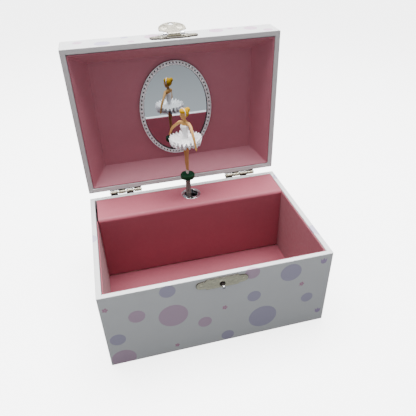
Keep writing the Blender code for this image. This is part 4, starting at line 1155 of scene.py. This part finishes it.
def loft(sections):
    """A solid with oval sections: (z, half across, half ahead, shift ahead)."""
    segments, least = 32, 0.02
    rows = smooth_route(sections, 4)
    points = []
    for z, across, ahead, shift in rows:
        for i in range(segments):
            t = tau * i / segments
            points.append((max(across, least) * cos(t), shift + max(ahead, least) * sin(t), z))
    return points, capped(len(rows), segments)


def modelled(name, shapes, look, place, voxel, smoothing):
    """Overlapping shapes melted into one soft skin."""
    made = build(name, merged(*shapes), look, "dancer", place)
    made.modifiers.clear()
    modify(made, "REMESH", mode="VOXEL", voxel_size=voxel * MM)
    modify(made, "SMOOTH", factor=0.6, iterations=smoothing)
    apply_modifiers(made)
    made.data.shade_smooth()
    return made


def spring():
    """A close-wound coil."""
    low, high = span("dancer_spring")
    spot = middle("dancer_spring")
    wire, turns, per_turn = 0.34, 23, 18
    radius = (high.x - low.x) / 2 - wire
    route = []
    for i in range(turns * per_turn + 1):
        t = tau * i / per_turn
        height = low.z + wire + (high.z - low.z - 2 * wire) * i / (turns * per_turn)
        route.append((spot.x + radius * cos(t), spot.y + radius * sin(t), height, wire))
    made = build("dancer_coil", tube(route, 8), "spring_steel", sharp=80.0)
    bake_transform(made)
    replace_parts(made, "dancer_spring")


def dancer_stand():
    """The green disc, her legs side by side and her pointed shoes."""
    low, high = span("dancer_disc")
    reach, rim = (high.x - low.x) / 2, 0.45
    profile = [(0.0, low.z)] + arc(reach - rim, low.z + rim, rim, 270, 360, 5)
    profile += arc(reach - rim, high.z - rim, rim, 0, 90, 5)
    profile += [(reach - 1.0, high.z), (reach - 1.2, high.z - 0.2)]
    profile += [(1.6, high.z - 0.2), (0.0, high.z - 0.1)]
    disc = turn("dancer_stand", profile, "Z", middle("dancer_disc").xy, "green_plastic", "dancer", 72)
    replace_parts(disc, "dancer_disc")
    ankle, ahead = 84.2, 0.25
    calf = [(ankle, 0.52), (85.5, 0.6), (88, 0.8), (91.5, 1.02), (94, 0.92), (96, 0.86), (98, 0.98)]
    legs = []
    shoes = []
    for side in (-1, 1):
        y = ahead * side
        route = []
        for z, radius in calf + [(101, 1.2), (105, 1.42), (108.4, 1.5)]:
            route.append((side * (0.58 + 0.8 * (z - ankle) / 24), y, z, radius))
        legs.append(tube(smooth_route(route, 5), 20))
        foot = [(side * 0.5, 0.1 + y, high.z + 0.28, 0.34), (side * 0.54, 0.15 + y, 82.7, 0.58)]
        foot += [(side * 0.58, 0.1 + y, 83.6, 0.66), (side * 0.58, y, 84.5, 0.64)]
        shoes.append(tube(smooth_route(foot, 5), 20))
        shoes.append(tube([(side * 0.58, y, 84.9, 0.66), (side * 0.6, y, 85.3, 0.69)], 20))
    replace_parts(modelled("dancer_leg_pair", legs, "leg_plastic", BODY_PLACE, 0.16, 2), "dancer_legs")
    build("dancer_shoes", merged(*shoes), "shoe_satin", "dancer", BODY_PLACE)


def hand(route):
    """An arm's route carried on into a slim hand."""
    end, before = Vector(route[-1][:3]), Vector(route[-2][:3])
    ahead = (end - before).normalized()
    slim = ((0.7, 0.62), (1.5, 0.7), (2.3, 0.52), (2.9, 0.3))
    return route + [(*(end + ahead * along), radius) for along, radius in slim]


def dancer_body():
    """Her bare upper body and arms, and the satin bodice over it, which is given back."""
    torso = [(116.0, 1.7, 1.5, 0.0), (119.0, 2.5, 2.0, 0.1), (121.3, 2.85, 2.1, 0.15)]
    torso += [(123.0, 3.25, 1.75, 0.0), (124.3, 3.0, 1.45, -0.1), (125.1, 1.7, 1.25, -0.15)]
    torso += [(125.9, 1.05, 1.05, -0.1), (127.2, 0.92, 0.98, 0.0), (128.6, 0.95, 1.0, 0.1)]
    right = [(-2.4, 0, 124.0, 1.1), (-3.8, 0.2, 123.4, 1.25), (-6.2, -0.3, 121.7, 1.1)]
    right += [(-8.8, -1.0, 119.6, 1.0), (-11.4, -1.4, 117.2, 1.0), (-13.6, -1.8, 114.3, 0.85)]
    right += [(-14.6, -1.9, 112.0, 0.65)]
    left = [(2.4, 0, 124.0, 1.1), (3.9, 0.4, 123.2, 1.25), (6.4, 1.8, 121.8, 1.1)]
    left += [(8.4, 3.6, 119.6, 1.0), (10.0, 4.6, 116.6, 1.0), (11.3, 5.2, 113.2, 0.85)]
    left += [(12.2, 5.5, 109.4, 0.65)]
    arms = [tube(smooth_route(hand(route), 5), 18) for route in (right, left)]
    skin = modelled("dancer_skin", [loft(torso), *arms], "skin_plastic", BODY_PLACE, 0.17, 4)
    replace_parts(skin, "dancer_body")
    dress = [(106.2, 0.6, 0.6, 0.0), (106.8, 1.9, 1.8, 0.0), (108.4, 2.9, 2.6, -0.1)]
    dress += [(110.4, 2.95, 2.6, -0.1), (112.6, 2.35, 2.0, 0.0), (114.6, 2.1, 1.85, 0.0)]
    dress += [(117.0, 2.4, 2.1, 0.1), (119.4, 2.85, 2.6, 0.35), (120.9, 3.0, 2.65, 0.4)]
    dress += [(122.0, 3.0, 2.35, 0.3), (122.3, 2.7, 2.0, 0.2), (122.4, 0.5, 0.4, 0.1)]
    bust = [ellipsoid((side * 1.3, 1.7, 120.9), (1.35, 1.25, 1.5)) for side in (-1, 1)]
    return modelled("dancer_bodice", [loft(dress), *bust], "bodice_satin", BODY_PLACE, 0.17, 3)


def dancer_head():
    head = [(127.2, 0.3, 0.3, 1.3), (127.5, 0.95, 1.0, 1.15), (128.3, 1.6, 1.8, 0.75)]
    head += [(129.5, 2.3, 2.5, 0.35), (131.0, 2.75, 2.95, 0.05), (132.5, 2.8, 2.95, -0.05)]
    head += [(133.7, 2.2, 2.3, -0.1), (134.4, 1.1, 1.2, -0.1), (134.6, 0.2, 0.2, -0.1)]
    nose = ellipsoid((0, 2.95, 130.35), (0.34, 0.5, 0.55))
    ears = [ellipsoid((side * 2.7, 0.1, 130.7), (0.35, 0.6, 0.8)) for side in (-1, 1)]
    modelled("dancer_face", [loft(head), nose, *ears], "skin_plastic", HEAD_PLACE, 0.13, 3)
    eyes = [ellipsoid((side * 0.98, 2.68, 131.15), (0.36, 0.16, 0.2), 6, 10) for side in (-1, 1)]
    brows = [ellipsoid((side * 1.0, 2.72, 131.8), (0.5, 0.12, 0.08), 6, 10) for side in (-1, 1)]
    build("dancer_eyes", merged(*eyes, *brows), "eye_paint", "dancer", HEAD_PLACE)
    lips = ellipsoid((0, 2.72, 129.25), (0.48, 0.2, 0.17), 6, 12)
    build("dancer_lips", lips, "lip_paint", "dancer", HEAD_PLACE)
    crown = ellipsoid((0, -0.75, 131.8), (3.15, 2.9, 3.25), 16, 28)
    fringe = ellipsoid((0, 0.25, 133.2), (2.85, 2.95, 2.0), 16, 28)
    bun = ellipsoid((0.4, -3.0, 133.6), (1.85, 1.55, 1.75), 16, 28)
    comb_hair(modelled("dancer_hair", [crown, fringe, bun], "yellow_hair", HEAD_PLACE, 0.15, 3))
    band = []
    for i in range(41):
        t = radians(-25 + 230 * i / 40)
        band.append((3.2 * cos(t), 0.75, 132.25 + 3.05 * sin(t), 0.3))
    build("dancer_headband", tube(band, 12), "shoe_satin", "dancer", HEAD_PLACE)


def comb_hair(made):
    """Shallow grooves that run back from the brow to the bun."""
    grooves, depth, centre_z = 24, 0.07, 131.6
    back = HEAD_PLACE.inverted()
    for vertex in made.data.vertices:
        spot = back @ (vertex.co / MM)
        out = Vector((spot.x, 0, spot.z - centre_z))
        away = (HEAD_PLACE.to_3x3() @ out).normalized()
        vertex.co += away * depth * sin(grooves * atan2(out.x, out.z)) * MM


def ruffle(name, waist_z, hem_z, reach, phase):
    """One gathered layer: flat at the waist, with folds that grow towards a scalloped hem."""
    inner, folds, rows = 2.3, 22, 14
    columns = folds * 12
    points = []
    hems = []
    for row in range(rows + 1):
        t = row / rows
        sag = -1.3 * sin(pi * min(1.0, t * 1.25)) + 0.9 * t**4
        for i in range(columns):
            turn_i = tau * i / columns
            fold = sin(folds * turn_i + phase)
            wave = fold * 1.5 / sqrt(1 + 1.25 * fold * fold) * (1 + 0.2 * sin(5 * turn_i + phase))
            scallop = 0.35 * fold + 0.2 * sin(7 * turn_i + 2 * phase)
            radius = inner + (reach - inner) * t + scallop * t**3
            height = waist_z + (hem_z - waist_z) * t + sag + 1.4 * wave * t**1.1
            points.append((radius * cos(turn_i), radius * sin(turn_i), height))
            hems.append(t**5)
    made = build(name, (points, grid_faces(rows + 1, columns)), "white_tulle", "dancer", BODY_PLACE)
    # The hem attribute sets how much painted shade the tulle gets: none at the waist, most at the hem.
    marks = made.data.attributes.new("hem", "FLOAT", "POINT")
    marks.data.foreach_set("value", hems)
    made.modifiers.clear()
    modify(made, "SOLIDIFY", thickness=0.14 * MM, offset=0.0)
    apply_modifiers(made)
    made.data.shade_smooth()
    return made


def tutu(bodice):
    """Three layers of tulle, of which the top one stands for the CAD's tutu."""
    low, high = span("dancer_tutu")
    reach = (high.x - low.x) / 2
    top = ruffle("tutu_top", high.z - 0.2, high.z - 1.9, reach - 0.7, 0.0)
    ruffle("tutu_middle", high.z - 1.3, high.z - 3.2, reach - 0.1, 0.5)
    ruffle("tutu_under", high.z - 2.4, high.z - 4.5, reach - 0.4, 1.0)
    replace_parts(top, "dancer_tutu")


# ---------------------------------------------------------------- finish


def dress_frame():
    """Each CAD node that still shows wears the look of its material slot, and the metal ones have their edges
    eased.
    """
    slots = {part["node"]: part["material_slot"] for part in frame["record"]["subparts"]}
    worn = dict.fromkeys(("winding_key", "movement_screw_left", "movement_screw_right"), "dull_nickel")
    for node, made in frame["nodes"].items():
        look = worn.get(node, slots[node]).replace("printed_paper", "white_paper")
        made.data.materials.clear()
        made.data.materials.append(LOOKS[look])
        if look in ("chrome", "dull_nickel", "movement_zinc", "movement_brass", "movement_steel"):
            bevel(made, 0.08, 2, 40.0)


add_camera()
LOOKS = make_looks()
add_studio()
dress_frame()
base_casing()
lid_casing()
lid_lining()
compartment_lining()
bench_card()
grommet()
mirror()
hinges()
base_latch()
lid_latch()
hasp()
cylinder_pins()
spring()
dancer_stand()
tutu(dancer_body())
dancer_head()
